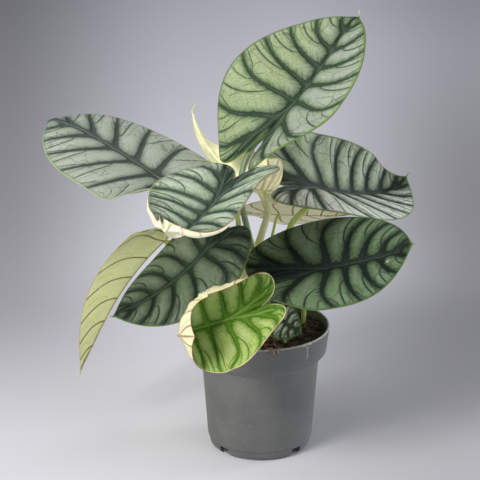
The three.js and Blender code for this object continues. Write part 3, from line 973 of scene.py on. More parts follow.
class Wire:
    """A number, vector or colour on its way between two nodes of a material."""

    def __init__(self, tree: bpy.types.NodeTree, socket: bpy.types.NodeSocket) -> None:
        """Keeps the tree and the socket that the value comes from."""
        self.tree = tree
        self.socket = socket

    def through(self, node: bpy.types.Node, *others: "Wire | float") -> "Wire":
        """Feeds a node's first sockets with the value and others.

        Args:
            node: The node.
            others: Values for the sockets after the first.

        Returns:
            The node's first output.
        """
        for place, value in enumerate((self, *others)):
            if isinstance(value, Wire):
                self.tree.links.new(value.socket, node.inputs[place])
            else:
                node.inputs[place].default_value = value
        return Wire(self.tree, node.outputs[0])

    def sent(self, operation: str, *others: "Wire | float") -> "Wire":
        """Passes the value and others through one Math node.

        Args:
            operation: Name of the node's operation.
            others: The operation's further inputs.

        Returns:
            The result.
        """
        node = self.tree.nodes.new("ShaderNodeMath")
        node.operation = operation
        return self.through(node, *others)

    def __add__(self, other: "Wire | float") -> "Wire":
        """Returns the sum."""
        return self.sent("ADD", other)

    def __sub__(self, other: "Wire | float") -> "Wire":
        """Returns the difference."""
        return self.sent("SUBTRACT", other)

    def __mul__(self, other: "Wire | float") -> "Wire":
        """Returns the product."""
        return self.sent("MULTIPLY", other)

    def __truediv__(self, other: "Wire | float") -> "Wire":
        """Returns the quotient."""
        return self.sent("DIVIDE", other)

    def turned_over(self) -> "Wire":
        """Returns 1 less the value."""
        return (self * -1.0) + 1.0

    def eased(self, low: "Wire | float", high: "Wire | float") -> "Wire":
        """Eases the value between two bounds with a soft step.

        Args:
            low: Bound at which the result is 0.
            high: Bound at which it is 1; it may be the lower of the two.

        Returns:
            The result.
        """
        node = self.tree.nodes.new("ShaderNodeMapRange")
        node.interpolation_type = "SMOOTHSTEP"
        return self.through(node, low, high)


def highest(values: list[Wire]) -> Wire:
    """Finds the highest of several values.

    Args:
        values: The values.

    Returns:
        The highest one.
    """
    result = values[0]
    for value in values[1:]:
        result = result.sent("MAXIMUM", value)
    return result


class Workbench:
    """A new material with one Principled shader, and the nodes that feed it."""

    def __init__(self, name: str) -> None:
        """Starts the material.

        Args:
            name: Name of the material.
        """
        self.material = bpy.data.materials.new(name)
        self.material.use_nodes = True
        self.tree = self.material.node_tree
        self.shader = self.tree.nodes["Principled BSDF"]

    def wire(self, node: bpy.types.Node, output: int | str = 0) -> Wire:
        """Returns one of a node's outputs."""
        return Wire(self.tree, node.outputs[output])

    def put(self, value: "Wire | float | tuple", socket: bpy.types.NodeSocket) -> None:
        """Links a wire to a socket, or sets the socket to a fixed value.

        Args:
            value: The wire or the fixed value.
            socket: The socket.
        """
        if isinstance(value, Wire):
            self.tree.links.new(value.socket, socket)
        else:
            socket.default_value = value

    def map_values(self, title: str) -> tuple[Wire, Wire]:
        """Reads one of the piece's UV maps.

        Args:
            title: Name of the map.

        Returns:
            Its two values.
        """
        source = self.tree.nodes.new("ShaderNodeUVMap")
        source.uv_map = title
        split = self.tree.nodes.new("ShaderNodeSeparateXYZ")
        self.tree.links.new(source.outputs[0], split.inputs[0])
        return self.wire(split, 0), self.wire(split, 1)

    def place_values(self) -> tuple[Wire, Wire, Wire, Wire]:
        """Reads the piece's own coordinates in metres.

        Returns:
            x, y, z and the three as one vector.
        """
        source = self.tree.nodes.new("ShaderNodeTexCoord")
        split = self.tree.nodes.new("ShaderNodeSeparateXYZ")
        self.tree.links.new(source.outputs["Object"], split.inputs[0])
        return self.wire(split, 0), self.wire(split, 1), self.wire(split, 2), self.wire(source, "Object")

    def vector(self, x: "Wire | float", y: "Wire | float", z: "Wire | float" = 0.0) -> Wire:
        """Joins three values into a vector.

        Args:
            x: First value.
            y: Second value.
            z: Third value.

        Returns:
            The vector.
        """
        node = self.tree.nodes.new("ShaderNodeCombineXYZ")
        for place, value in enumerate((x, y, z)):
            self.put(value, node.inputs[place])
        return self.wire(node)

    def noise(self, place: Wire, scale: float, detail: float = 2.0, rough: float = 0.5) -> Wire:
        """Makes cloudy noise.

        Args:
            place: Where it is read.
            scale: Number of clouds in a unit of place.
            detail: Number of finer layers.
            rough: Strength of the finer layers.

        Returns:
            Values round 0.5.
        """
        node = self.tree.nodes.new("ShaderNodeTexNoise")
        self.put(place, node.inputs["Vector"])
        node.inputs["Scale"].default_value = scale
        node.inputs["Detail"].default_value = detail
        node.inputs["Roughness"].default_value = rough
        return self.wire(node)

    def cells(self, place: Wire, scale: float, feature: str = "F1") -> Wire:
        """Makes a pattern of uneven cells.

        Args:
            place: Where it is read.
            scale: Number of cells in a unit of place.
            feature: What is measured: "F1" for cell centres, "DISTANCE_TO_EDGE" for cell edges.

        Returns:
            Distances from the nearest of these.
        """
        node = self.tree.nodes.new("ShaderNodeTexVoronoi")
        node.feature = feature
        self.put(place, node.inputs["Vector"])
        node.inputs["Scale"].default_value = scale
        return self.wire(node)

    def layered(self, ground: "Wire | Colour", *layers: tuple["Wire | float", "Wire | Colour"]) -> Wire:
        """Lays colours over a ground one after another. Plain colours are screen values.

        Args:
            ground: The colour below.
            layers: The share that each colour covers, and the colour.

        Returns:
            The colour on top.
        """
        for share, colour in layers:
            node = self.tree.nodes.new("ShaderNodeMix")
            node.data_type = "RGBA"
            self.put(share, node.inputs[0])
            for socket, value in ((node.inputs[6], ground), (node.inputs[7], colour)):
                self.put(value if isinstance(value, Wire) else tint(value), socket)
            ground = self.wire(node, 2)
        return ground

    def finish(self, colour: Wire, rough: "Wire | float", height: Wire, depth: float,
               shine: float = 0.5) -> bpy.types.Material:
        """Feeds the shader.

        Args:
            colour: Surface colour.
            rough: Roughness.
            height: Height of the surface's relief, about 0 to 1.
            depth: Depth of the relief in metres.
            shine: Specular level.

        Returns:
            The finished material.
        """
        self.put(colour, self.shader.inputs["Base Color"])
        self.put(rough, self.shader.inputs["Roughness"])
        self.shader.inputs["Specular IOR Level"].default_value = shine
        bump = self.tree.nodes.new("ShaderNodeBump")
        bump.inputs["Distance"].default_value = depth
        bump.inputs["Strength"].default_value = 1.0
        self.put(height, bump.inputs["Height"])
        self.tree.links.new(bump.outputs[0], self.shader.inputs["Normal"])
        return self.material


class BladePlaces:
    """Where a point of a blade lies, read from the blade's UV maps.

    Distances are in millimetres and x and y in centimetres. flat is that place moved aside by SHIFT
    times the seed, so that no two blades are patched alike.
    """

    SHIFT = 3.1

    def __init__(self, bench: Workbench, seed: float) -> None:
        """Reads the maps.

        Args:
            bench: The material in the making.
            seed: The blade's own number.
        """
        self.bench = bench
        self.share, self.across = bench.map_values("veins")
        self.near_edge, self.near_rib = bench.map_values("near")
        self.panel, self.number = bench.map_values("panel")
        self.x, self.y = bench.map_values("flat")
        self.moved = self.x + self.SHIFT * seed
        self.flat = bench.vector(self.moved, self.y)
        self.near_vein = self.share.sent("MINIMUM", self.share.turned_over()) * self.panel

    def from_point(self, x: float, y: float) -> Wire:
        """Returns the distance in centimetres from a flat point of the blade."""
        aside, ahead = self.x - x, self.y - y
        return ((aside * aside) + (ahead * ahead)).sent("SQRT")


class UpperPlaces(BladePlaces):
    """Places on the upper face with noises round 0: wobble, grain, and barbs that slant from the veins.

    bent is the flat place moved by the wobble.
    """

    def __init__(self, bench: Workbench, seed: float) -> None:
        """Reads the maps and makes the noises.

        Args:
            bench: The material in the making.
            seed: The blade's own number.
        """
        super().__init__(bench, seed)
        self.wobble = bench.noise(self.flat, 1.5, 3.0) - 0.5
        slanted = (self.across * 34.0) - (self.near_vein * 0.62)
        barb_place = bench.vector(slanted, self.near_vein * 0.1, self.number * 3.7)
        self.barbs = bench.noise(barb_place, 1.0, 3.0, 0.66) - 0.5
        self.grain = bench.noise(self.flat, 15.0, 3.0, 0.6) - 0.5
        self.bent = bench.vector(self.moved + (self.wobble * 0.5), self.y + (self.wobble * 0.5))


@dataclass(frozen=True)
class BladeFinish:
    """Screen colours of a blade and the measures, in millimetres, of the dark bands on its upper face.

    silver_warm shows in patches, by the margin and, by the share warm_left, on the left half. shade is
    the halo of a band, partly the darker tissue beside a vein and partly painted shade in the sunken
    valley along it; it also lays painted shade on the crinkles. deep is the band's border, rib the thin
    line on the midrib, partly a painted highlight on its raised cord, edge the blade's rim and tip the
    end of its drip tip. dot and nick are the middles of the specks and of the scar. comb is the barbs'
    length, pale_right how far the right half pales, speck the number of pale dots a centimetre, scar a
    healed nick's place and plain_from how many centimetres ahead of the joint the under face loses its
    veins.
    """

    slot: str
    silver: Colour
    silver_warm: Colour
    shade: Colour
    band: Colour
    deep: Colour
    rib: Colour
    margin: Colour
    under: Colour
    under_warm: Colour
    under_vein: Colour
    edge: Colour
    tip: Colour = (198, 204, 140)
    dot: Colour = (214, 220, 150)
    nick: Colour = (206, 216, 110)
    band_width: float = 1.3
    halo: float = 4.0
    comb: float = 1.2
    joint_patch: float = 12.0
    patchy: float = 0.6
    warm_left: float = 0.0
    pale_right: float = 0.0
    plain_from: float = 99.0
    speck: float = 0.0
    scar: tuple[float, float] | None = None

    def bands(self, spot: UpperPlaces) -> tuple[Wire, Wire, Wire]:
        """The dark bands along side veins and ribs.

        A band is the ground nearer to a side vein or rib than a width that shrinks towards the margin.
        The distance is the product of both distances over their sum, so bands run together in webs where
        they meet. Barbs shift that distance, so a band's edge and its halo are combed.

        Args:
            spot: Places on the blade.

        Returns:
            Shares of the band, of its border and of its halo.
        """
        rib = spot.near_rib * ((spot.y.eased(-3.0, 9.0) * 0.25) + 0.8)
        web = (spot.near_vein * rib) / (spot.near_vein + rib + 0.05)
        fade = spot.across.eased(1.0, 0.92)
        width = ((spot.across * spot.across).turned_over() * self.band_width) + 0.4
        gap = web + (spot.barbs * self.comb) + (spot.wobble * 1.1)
        core = gap.eased(width + 0.45, width - 0.4) * fade
        border = (gap - width).sent("ABSOLUTE").eased(0.8, 0.1) * fade
        # The halo is partly the darker tissue beside a vein and partly painted shade in the sunken valley
        # along it.
        halo = (web + (spot.barbs * 4.6) + (spot.wobble * 2.2)).eased(width + self.halo, width * 0.5)
        return core, border, halo

    def fine_veins(self, spot: UpperPlaces) -> tuple[Wire, Wire]:
        """The thinner lines along the forks, and hooks along the edges of uneven cells in the outer half.

        Args:
            spot: Places on the blade.

        Returns:
            Shares of the lines and of the haze beside them.
        """
        bench = spot.bench
        gaps = [gap.sent("ABSOLUTE") for title in ("forks", "twigs") for gap in bench.map_values(title)]
        lines, haze = [], []
        for gap, fork in zip(gaps, FORKS):
            line = (gap + (spot.barbs * 0.5) + (spot.wobble * 0.4)).eased(fork.line, 0.4 * fork.line)
            lines.append(line * fork.strength)
            haze.append((gap + (spot.barbs * 2.0)).eased(2.4 * fork.line, 0.3) * (0.45 * fork.strength))
        hooks = bench.cells(spot.bent, 0.8, "DISTANCE_TO_EDGE").eased(0.05, 0.015)
        hooks = hooks * spot.across.eased(0.3, 0.6) * bench.noise(spot.flat, 0.8, 2.0).eased(0.44, 0.54)
        return highest([*lines, hooks * 0.55]) * spot.across.eased(1.0, 0.92), highest(haze)

    def ground(self, spot: BladePlaces, crinkle_shade_and_barbs: Wire, net: Wire) -> Wire:
        """The pale cushions between the bands, with painted shade on their crinkles.

        Args:
            spot: Places on the blade.
            crinkle_shade_and_barbs: Share of the painted shade on the crinkles, and of the barbs.
            net: Share of the fine net veins.

        Returns:
            Their colour.
        """
        bench = spot.bench
        warm = highest([
            bench.noise(spot.flat, 0.45, 2.0).eased(0.38, 0.66) * self.patchy,
            spot.near_edge.eased(8.0, 1.0) * 0.6,
            spot.x.eased(0.8, -2.5) * self.warm_left,
        ])
        return bench.layered(
            self.silver,
            (warm, self.silver_warm),
            (spot.x.eased(-0.6, 0.9) * self.pale_right, PALE_SILVER),
            # Painted shade on the crinkles, together with the barbs' streaks.
            (crinkle_shade_and_barbs, self.shade),
            (net * 0.2, self.shade),
        )

    def marks(self, spot: UpperPlaces, crinkle: Wire) -> list[tuple[Wire, Colour]]:
        """The pale specks and the healed nick with its scuffed surroundings, where the blade has them.

        Args:
            spot: Places on the blade.
            crinkle: Noise round 0.5.

        Returns:
            Layers of colour.
        """
        layers = []
        if self.speck:
            dots = spot.bench.cells(spot.flat, self.speck).eased(0.11 * self.speck, 0.07 * self.speck)
            layers.append((dots, self.dot))
        if self.scar:
            away = spot.from_point(*self.scar)
            scuff = (away + (crinkle * 0.9)).eased(0.85, 0.55) * spot.grain.eased(0.0, 0.12)
            layers += [(scuff * 0.6, PALE_SILVER), (away.eased(0.11, 0.07), self.nick)]
        return layers

    def upper(self, name: str, seed: float) -> bpy.types.Material:
        """The silvery upper face: pale cushions between dark feathered bands along the veins.

        Args:
            name: Name of the material.
            seed: The blade's own number, which sets its patches apart.

        Returns:
            The material.
        """
        bench = Workbench(name)
        spot = UpperPlaces(bench, seed)
        barbs, grain = spot.barbs, spot.grain
        core, border, halo = self.bands(spot)
        fine, haze = self.fine_veins(spot)
        from_joint = spot.from_point(0.0, 0.0) * MM_IN_CM
        joint = (from_joint + (barbs * 10.0)).eased(self.joint_patch, 1.5)
        halos = highest([halo, haze, joint])
        cores = highest([core, fine * 0.9])
        crinkle = bench.noise(spot.flat, 7.0, 4.0, 0.7)
        crinkle_shade_and_barbs = highest([crinkle.eased(0.45, 0.8), barbs.eased(0.0, 0.22)]) * 0.34
        net = bench.cells(spot.bent, 3.4, "DISTANCE_TO_EDGE").eased(0.09, 0.01)
        colour = bench.layered(
            self.ground(spot, crinkle_shade_and_barbs, net),
            # Halos: the darker tissue beside the veins and painted shade in their sunken valleys.
            (halos * 0.85, self.shade),
            (halos * halos * 0.5, self.deep),
            (cores * 0.94, self.band),
            (border * 0.5, self.deep),
            (joint * 0.4, self.deep),
            # A paler line on the midrib: its own paler cord, and partly a painted highlight along the raised
            # cord.
            (spot.near_rib.eased(0.8, 0.35) * 0.8, self.rib),
            ((spot.near_edge - 1.4).sent("ABSOLUTE").eased(0.7, 0.2) * 0.4, self.band),
            (spot.near_edge.eased(0.95, 0.5), self.margin),
            *self.marks(spot, crinkle),
        )
        height = (grain * 0.35) - (cores * 0.8) - (halos * 0.35) - (net * 0.35) + (barbs * 0.7)
        return bench.finish(colour, (halos * 0.1) + 0.4, height + (crinkle * 0.5), 0.0006, 0.24)

    def under_side(self, name: str, seed: float) -> bpy.types.Material:
        """The matt under face: pale, with raised ribs and thin coloured veins.

        Args:
            name: Name of the material.
            seed: The blade's own number.

        Returns:
            The material.
        """
        bench = Workbench(name)
        spot = BladePlaces(bench, seed)
        first_fork, _ = bench.map_values("forks")
        cloud = bench.noise(spot.flat, 0.7, 3.0)
        grain = bench.noise(spot.flat, 9.0, 3.0)
        uneven = (grain * 0.6) - 0.3
        line = highest([
            (spot.near_vein + uneven).eased(1.1, 0.5),
            (spot.near_rib + uneven).eased(1.0, 0.5) * 0.8,
            (first_fork.sent("ABSOLUTE") + uneven).eased(0.6, 0.2) * 0.25,
        ])
        veined = spot.panel.eased(0.0, 9.0) * spot.y.eased(self.plain_from, self.plain_from - 3.0)
        colour = bench.layered(
            self.under,
            (cloud.eased(0.35, 0.65), self.under_warm),
            (line * veined * 0.85, self.under_vein),
            (spot.near_edge.eased(0.7, 0.3), self.edge),
        )
        return bench.finish(colour, (grain * 0.1) + 0.5, (grain * 0.3) + (cloud * 0.4), 0.0003, 0.35)

    def wall(self, name: str) -> bpy.types.Material:
        """The skin of a cupped blade's outer wall: pale, with thin veins that run down it.

        Args:
            name: Name of the material.

        Returns:
            The material.
        """
        bench = Workbench(name)
        along, down = bench.map_values("rod")
        cloud = bench.noise(bench.vector(along * 1.3, down), 1.0, 3.0)
        vein = ((along * 0.72) + (cloud * 0.5) + (down * 0.25)).sent("PINGPONG", 0.5).eased(0.035, 0.012)
        colour = bench.layered(
            self.under,
            (cloud.eased(0.35, 0.65), self.under_warm),
            (vein * 0.6, self.under_vein),
            (down.eased(0.88, 1.0) * 0.6, self.edge),
        )
        return bench.finish(colour, (cloud * 0.1) + 0.45, cloud - (vein * 0.5), 0.0006, 0.35)

    def point(self, name: str) -> bpy.types.Material:
        """The drip tip's waxy skin, which pales from the blade's rim to its end.

        Args:
            name: Name of the material.

        Returns:
            The material.
        """
        bench = Workbench(name)
        around, along = bench.map_values("rod")
        spots = bench.noise(bench.vector(around * 6.0, along * 20.0), 1.0, 3.0)
        colour = bench.layered(
            self.margin, (along.eased(0.0, 0.7), self.tip), (spots.eased(0.45, 0.7) * 0.4, self.under_warm)
        )
        return bench.finish(colour, (spots * 0.1) + 0.4, spots, 0.0002, 0.4)


@dataclass(frozen=True)
class StalkFinish:
    """Screen colours of a leaf stalk at its foot and below its blade."""

    slot: str
    foot: Colour
    head: Colour
    fleck: Colour

    def material(self, name: str, length: float) -> bpy.types.Material:
        """A satin stalk with long pale streaks and small flecks.

        Args:
            name: Name of the material.
            length: Length of the stalk in metres.

        Returns:
            The material.
        """
        bench = Workbench(name)
        around, along = bench.map_values("rod")
        streak = bench.noise(bench.vector(around * 9.0, along * 0.35), 1.0, 3.0)
        fleck = bench.noise(bench.vector(around * 14.0, along * 3.0), 1.0, 3.0)
        colour = bench.layered(
            self.foot,
            (along.eased(0.0, length * CM_IN_M), self.head),
            (streak.eased(0.4, 0.7) * 0.4, self.fleck),
            (fleck.eased(0.62, 0.72) * 0.5, self.fleck),
        )
        return bench.finish(colour, (streak * 0.15) + 0.38, streak, 0.0004, 0.5)


@dataclass(frozen=True)
class PlasticFinish:
    """Screen colours of the grey nursery plastic, and where its rim, its ledge and a water mark are; the
    ledge gets painted light.
    """

    slot: str = "pot_plastic"
    grey: Colour = (89, 90, 89)
    pit: Colour = (66, 67, 66)
    pale_and_painted_light: Colour = (160, 160, 158)
    dust: Colour = (176, 172, 164)
    rim: tuple[float, float] = (0.1085, 0.1098)
    # Heights of the ledge below the collar, which is lightened as painted light.
    ledge: tuple[float, float, float, float] = (0.0795, 0.083, 0.0872, 0.0886)
    drip_at: float = 0.0405

    def water_mark(self, bench: Workbench) -> Wire:
        """A splash on the front of the rim with a dried drip below it.

        Args:
            bench: The material in the making.

        Returns:
            The share that it covers.
        """
        x, y, z, place = bench.place_values()
        ragged = (x + (bench.noise(place, 300.0, 3.0) * 0.003) - self.drip_at).sent("ABSOLUTE")
        beads = bench.noise(place, 520.0, 2.0).eased(0.4, 0.6)
        drip = ragged.eased(0.001, 0.0003) * z.eased(0.094, 0.097) * beads
        splash = ragged.eased(0.0048, 0.003) * z.eased(0.1075, 0.109) * beads
        return highest([drip * 0.6, splash]) * y.eased(0.0, -0.01)

    def material(self) -> bpy.types.Material:
        """Matt grey plastic with fine moulded grain, a broken paler line on the rim, dust, dried water marks
        and painted light on the ledge below the collar.

        Returns:
            The material.
        """
        bench = Workbench("nursery_plastic")
        _, _, z, place = bench.place_values()
        cloud = bench.noise(place, 28.0, 4.0, 0.6)
        grain = bench.noise(place, 2600.0, 2.0)
        low, raised, level, high = self.ledge
        colour = bench.layered(
            self.grey,
            (cloud.eased(0.3, 0.7) * 0.12, self.pale_and_painted_light),
            (bench.noise(place, 950.0, 2.0).eased(0.35, 0.65) * 0.3, self.pit),
            (z.eased(*self.rim) * bench.noise(place, 160.0, 3.0).eased(0.3, 0.55) * 0.9, self.pale_and_painted_light),
            (bench.noise(place, 420.0, 2.0).eased(0.68, 0.74) * 0.15, self.dust),
            (self.water_mark(bench), self.dust),
            # Painted light: lifts the shaded ledge below the collar with the pale grey.
            (z.eased(low, raised) * z.eased(high, level) * 0.1, self.pale_and_painted_light),
        )
        return bench.finish(colour, (cloud * 0.2) + 0.42, (grain * 0.5) + (cloud * 0.4), 0.00012, 0.4)


@dataclass(frozen=True)
class SoilFinish:
    """Screen colours of damp potting soil, its bark and its root fibres."""

    slot: str = "soil"
    dark: Colour = (36, 34, 33)
    brown: Colour = (66, 58, 52)
    bark: Colour = (92, 70, 54)
    root: Colour = (92, 70, 56)
    fibre: Colour = (158, 134, 112)

    def material(self, name: str, first: Colour, second: Colour) -> bpy.types.Material:
        """Rough crumbly stuff, mottled between two colours.

        Args:
            name: Name of the material.
            first: Commoner colour.
            second: Rarer colour.

        Returns:
            The material.
        """
        bench = Workbench(name)
        _, _, _, place = bench.place_values()
        lumps = bench.noise(place, 260.0, 5.0, 0.7)
        colour = bench.layered(first, (bench.noise(place, 90.0, 3.0).eased(0.45, 0.65), second))
        return bench.finish(colour, (lumps * 0.2) + 0.75, lumps, 0.0015, 0.25)


@dataclass(frozen=True)
class PaperFinish:
    """The studio paper, painted with light: greyer to the right and further back as painted shade, with a
    painted glow behind the plant.

    Its tone is the base plus a sum of soft steps along the way back and up the sheet, each a weight, a
    start and an end in metres. Some steps count in the painted glow alone or in the painted shade on the
    right side alone.
    """

    paper: Colour = (246, 246, 255)
    base: float = 0.735
    glow: float = 0.09
    shade: float = -0.266
    steps: tuple[Triple, ...] = ((-0.34, -0.1, 0.35), (-0.052, 0.1, 0.7), (0.045, 0.6, 1.7))
    glow_steps: tuple[Triple, ...] = ((0.38, 0.05, 0.5), (0.02, 0.9, 1.8))
    shade_steps: tuple[Triple, ...] = ((0.189, 0.0, 0.4), (0.332, 0.5, 1.6))

    def material(self) -> bpy.types.Material:
        """Matt paper with a faint grain, and painted light and shade in its tone.

        Returns:
            The material.
        """
        bench = Workbench("studio_paper")
        x, y, z, place = bench.place_values()
        way = y + z
        aside = x / ((way * 0.85) + 1.5)
        glow = (aside + 0.01).sent("ABSOLUTE").eased(0.15, 0.02)
        shade = aside.eased(-0.07, 0.12)
        # Painted light: the tone is darker to the right as painted shade and lighter behind the plant as a
        # painted glow.
        tone = (glow * self.glow) + (shade * self.shade) + self.base
        for weight, start, end in self.steps:
            tone = tone + (way.eased(start, end) * weight)
        for part, steps in ((glow, self.glow_steps), (shade, self.shade_steps)):
            for weight, start, end in steps:
                tone = tone + (part * way.eased(start, end) * weight)
        colour = bench.layered((0, 0, 0), (tone, self.paper))
        return bench.finish(colour, 0.9, bench.noise(place, 60.0, 2.0), 0.0002, 0.1)


def hand_over(piece: bpy.types.Object, slot: str, finishes: list[bpy.types.Material], *nodes: str) -> None:
    """Dresses a piece, lets it ride on the plant's body and logs its finish slot.

    Args:
        piece: The piece.
        slot: Name of its finish slot, which is only logged.
        finishes: Its materials, in the order of its slots.
        nodes: Names of the CAD nodes that it stands for.
    """
    for finish in finishes:
        piece.data.materials.append(finish)
    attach(piece, BODY)
    if nodes:
        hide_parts(*nodes)
    log.info("%s: %d faces, slot %s", piece.name, len(piece.data.polygons), slot)


@dataclass
class Leaf:
    """A leaf: its blade, its stalk and their finishes.

    The stalk has that many sides and a step of that length; it has ridges ridges, each standing out by
    ridge_height of its radius, and widens by flare over its last part. The drip tip starts tip_overlap
    inside the apex.
    """

    form: LeafForm
    finish: BladeFinish
    stalk_finish: StalkFinish
    seed: float
    stalk_sides: int = 20
    stalk_step: float = 0.0015
    ridges: float = 5.0
    ridge_height: float = 0.03
    flare: float = 0.1
    upright: float = 0.004
    tip_radius: float = 0.0007
    tip_overlap: float = 0.0015
    tip_sides: int = 10
    tip_step: float = 0.0004
    rim_step: float = 0.0016

    def stalk_path(self) -> Array:
        """Middle line of the stalk: upright in the soil, then a smooth curve through its points.

        It ends below the joint by the stalk's radius times the sine of its angle to the blade's upright,
        and 0.7 of the blade's thickness more.

        Returns:
            Array (n, 3) of points.
        """
        form = self.form
        foot = np.array([form.through[0][0], form.through[0][1], SOIL_LEVEL])
        _, _, up = form.axes()
        ahead = unit(np.array(form.at) - np.array(form.through[-1]))
        slant = math.sqrt(1.0 - float(ahead @ up) ** 2)
        top = np.array(form.at) - up * (0.7 * BLADE_THICKNESS + form.radius[1] * slant)
        bends = np.array([foot + [0, 0, self.upright], *form.through[1:], top])
        heights = np.arange(-STALK_DEPTH, self.upright, self.stalk_step)
        rise = heights[:, None] * [0.0, 0.0, 1.0] + foot
        return np.concatenate([rise, smooth_path(bends, self.stalk_step)])

    def stalk(self, path: Array) -> Shell:
        """The stalk: a rod that thins to its blade, ridged a little, and flares over its last millimetres.

        Args:
            path: Its middle line.

        Returns:
            The stalk's shell.
        """
        share = np.linspace(0.0, 1.0, len(path))[:, None]
        first, last = self.form.radius
        around = 2.0 * np.pi * np.arange(self.stalk_sides) / self.stalk_sides
        ridges = 1.0 + self.ridge_height * np.cos(self.ridges * around + self.seed + 3.0 * share)
        flare = 1.0 + self.flare * smooth_step(0.955, 1.0, share)
        return swept(path, (first + (last - first) * share) * ridges * flare, self.stalk_sides)

    def tip(self, blade: Blade) -> Shell:
        """The drip tip: a thin rod that starts inside the apex and follows the leaf's beak to a point.

        Its radius falls by three quarters of the share of its length to the power 1.5.

        Args:
            blade: The leaf's blade.

        Returns:
            The tip's shell.
        """
        apex, ahead = blade.apex()
        run = np.array([apex - ahead * self.tip_overlap, apex, *(apex + np.array(self.form.beak))])
        path = smooth_path(run, self.tip_step)
        share = np.linspace(0.0, 1.0, len(path))[:, None]
        return swept(path, self.tip_radius * (1.0 - 0.75 * share**1.5), self.tip_sides)

    def outer_wall(self, blade: Blade) -> Shell:
        """The pale outer wall of a cupped blade, below its margin from one half past the apex to the other.

        Along the margin its depth is deep sin(pi s)^0.7, with a small wave. Across, each point leaves the
        margin outward by 0.3 sin(pi t) of that depth, sinks by 1 - (1 - t)^1.4 and turns in by 0.55 t^2
        of it.

        Args:
            blade: The leaf's blade.

        Returns:
            The wall, closed by an inner face a blade's edge behind the outer one.
        """
        right_end, left_end, depth = self.form.wall
        places = ((Side.RIGHT, np.linspace(right_end, 0.35, 12)), (Side.LEFT, np.linspace(0.3, left_end, 9)))
        rims = [blade.bent_point(side, blade.outline(side, place)) for side, place in places]
        rim = smooth_path(blade.in_place(np.concatenate(rims)), self.rim_step)
        run = unit(np.gradient(rim, axis=0))
        inward = unit(np.array(self.form.at) - rim)
        down = unit(np.cross(run, inward))
        down *= -np.sign(down[:, 2:])
        outward = unit(np.cross(down, run))
        outward *= -np.sign((outward * inward).sum(-1, keepdims=True))
        share = np.linspace(0.0, 1.0, len(rim))[:, None, None]
        t = np.linspace(0.0, 1.0, 12)[None, :, None]
        deep = depth * np.sin(np.pi * share) ** 0.7 * (1.0 + 0.1 * np.sin(34.0 * share))
        away = 0.3 * np.sin(np.pi * t) - 0.55 * t * t
        outer = rim[:, None] + deep * (outward[:, None] * away + down[:, None] * (1.0 - (1.0 - t) ** 1.4))
        inner = outer - outward[:, None] * EDGE_THICKNESS
        ring = np.concatenate([outer, inner[:, ::-1]], axis=1)
        rows, columns = ring.shape[:2]
        k = np.arange(1, columns - 1)
        cap = np.stack([0 * k, k, k + 1], -1)
        tail = (rows - 1) * columns + cap[:, [0, 2, 1]]
        faces = np.concatenate([grid_faces(rows, columns, True), cap, tail])[:, ::-1]
        u = np.broadcast_to(run_along(rim)[:, None] * CM_IN_M, (rows, columns)).ravel()
        v = np.broadcast_to(np.abs(np.linspace(-1.0, 1.0, columns)), (rows, columns)).ravel()
        return Shell(ring.reshape(-1, 3), faces, {"rod": np.stack([u[faces], v[faces]], -1)})

    def make(self) -> None:
        """Builds and dresses the leaf and hands its pieces to the frame."""
        name, finish = self.form.name, self.finish
        sheet = Blade(self.form, self.seed)
        skins = [finish.upper(name + "_upper", self.seed), finish.under_side(name + "_under", self.seed)]
        hand_over(sheet.build().placed(name + "_blade"), finish.slot, skins, "blade_" + name)
        if self.form.beak:
            hand_over(self.tip(sheet).placed(name + "_tip"), finish.slot, [finish.point(name + "_point")])
        if self.form.wall:
            wall = self.outer_wall(sheet).placed(name + "_wall")
            hand_over(wall, finish.slot, [finish.wall(name + "_wall")])
        path = self.stalk_path()
        skin = self.stalk_finish.material(name + "_stalk", float(run_along(path)[-1]))
        hand_over(self.stalk(path).placed(name + "_stalk"), self.stalk_finish.slot, [skin], "stem_" + name)


def turned(profile: Array, sides: int) -> Shell:
    """Turns a profile about the Z axis: each corner's radius and height are carried round a circle.

    Args:
        profile: Array (n, 2) of radius and height, from the axis below, out, up and back to the axis.
        sides: Number of points round.

    Returns:
        The turned shell.
    """
    angle = 2.0 * np.pi * np.arange(sides) / sides
    radius, height = profile[:, :1], profile[:, 1:]
    points = np.stack([radius * np.cos(angle), radius * np.sin(angle), height + 0 * angle], -1)
    faces = grid_faces(len(profile), sides, True)[:, ::-1]
    return Shell(points.reshape(-1, 3), faces).welded()


def rounded(profile: Array, radius: float, steps: int = 5, most: float = 0.4) -> Array:
    """Rounds the inner corners of a broken line: each is swapped for a parabola between its two sides.

    Args:
        profile: Array (n, 2) of corners.
        radius: How far from a corner the rounding starts.
        steps: Number of stretches in a rounding.
        most: Share of a side that a rounding may take.

    Returns:
        Array (m, 2) of the rounded line.
    """
    before, corner, after = profile[:-2], profile[1:-1], profile[2:]
    back, ahead = before - corner, after - corner
    far = np.linalg.norm(back, axis=1, keepdims=True)
    near = np.linalg.norm(ahead, axis=1, keepdims=True)
    start = corner + back / far * np.minimum(radius, most * far)
    end = corner + ahead / near * np.minimum(radius, most * near)
    t = np.linspace(0.0, 1.0, steps + 1)[None, :, None]
    bends = (1 - t) ** 2 * start[:, None] + 2 * (1 - t) * t * corner[:, None] + t * t * end[:, None]
    return np.concatenate([profile[:1], bends.reshape(-1, 2), profile[-1:]])


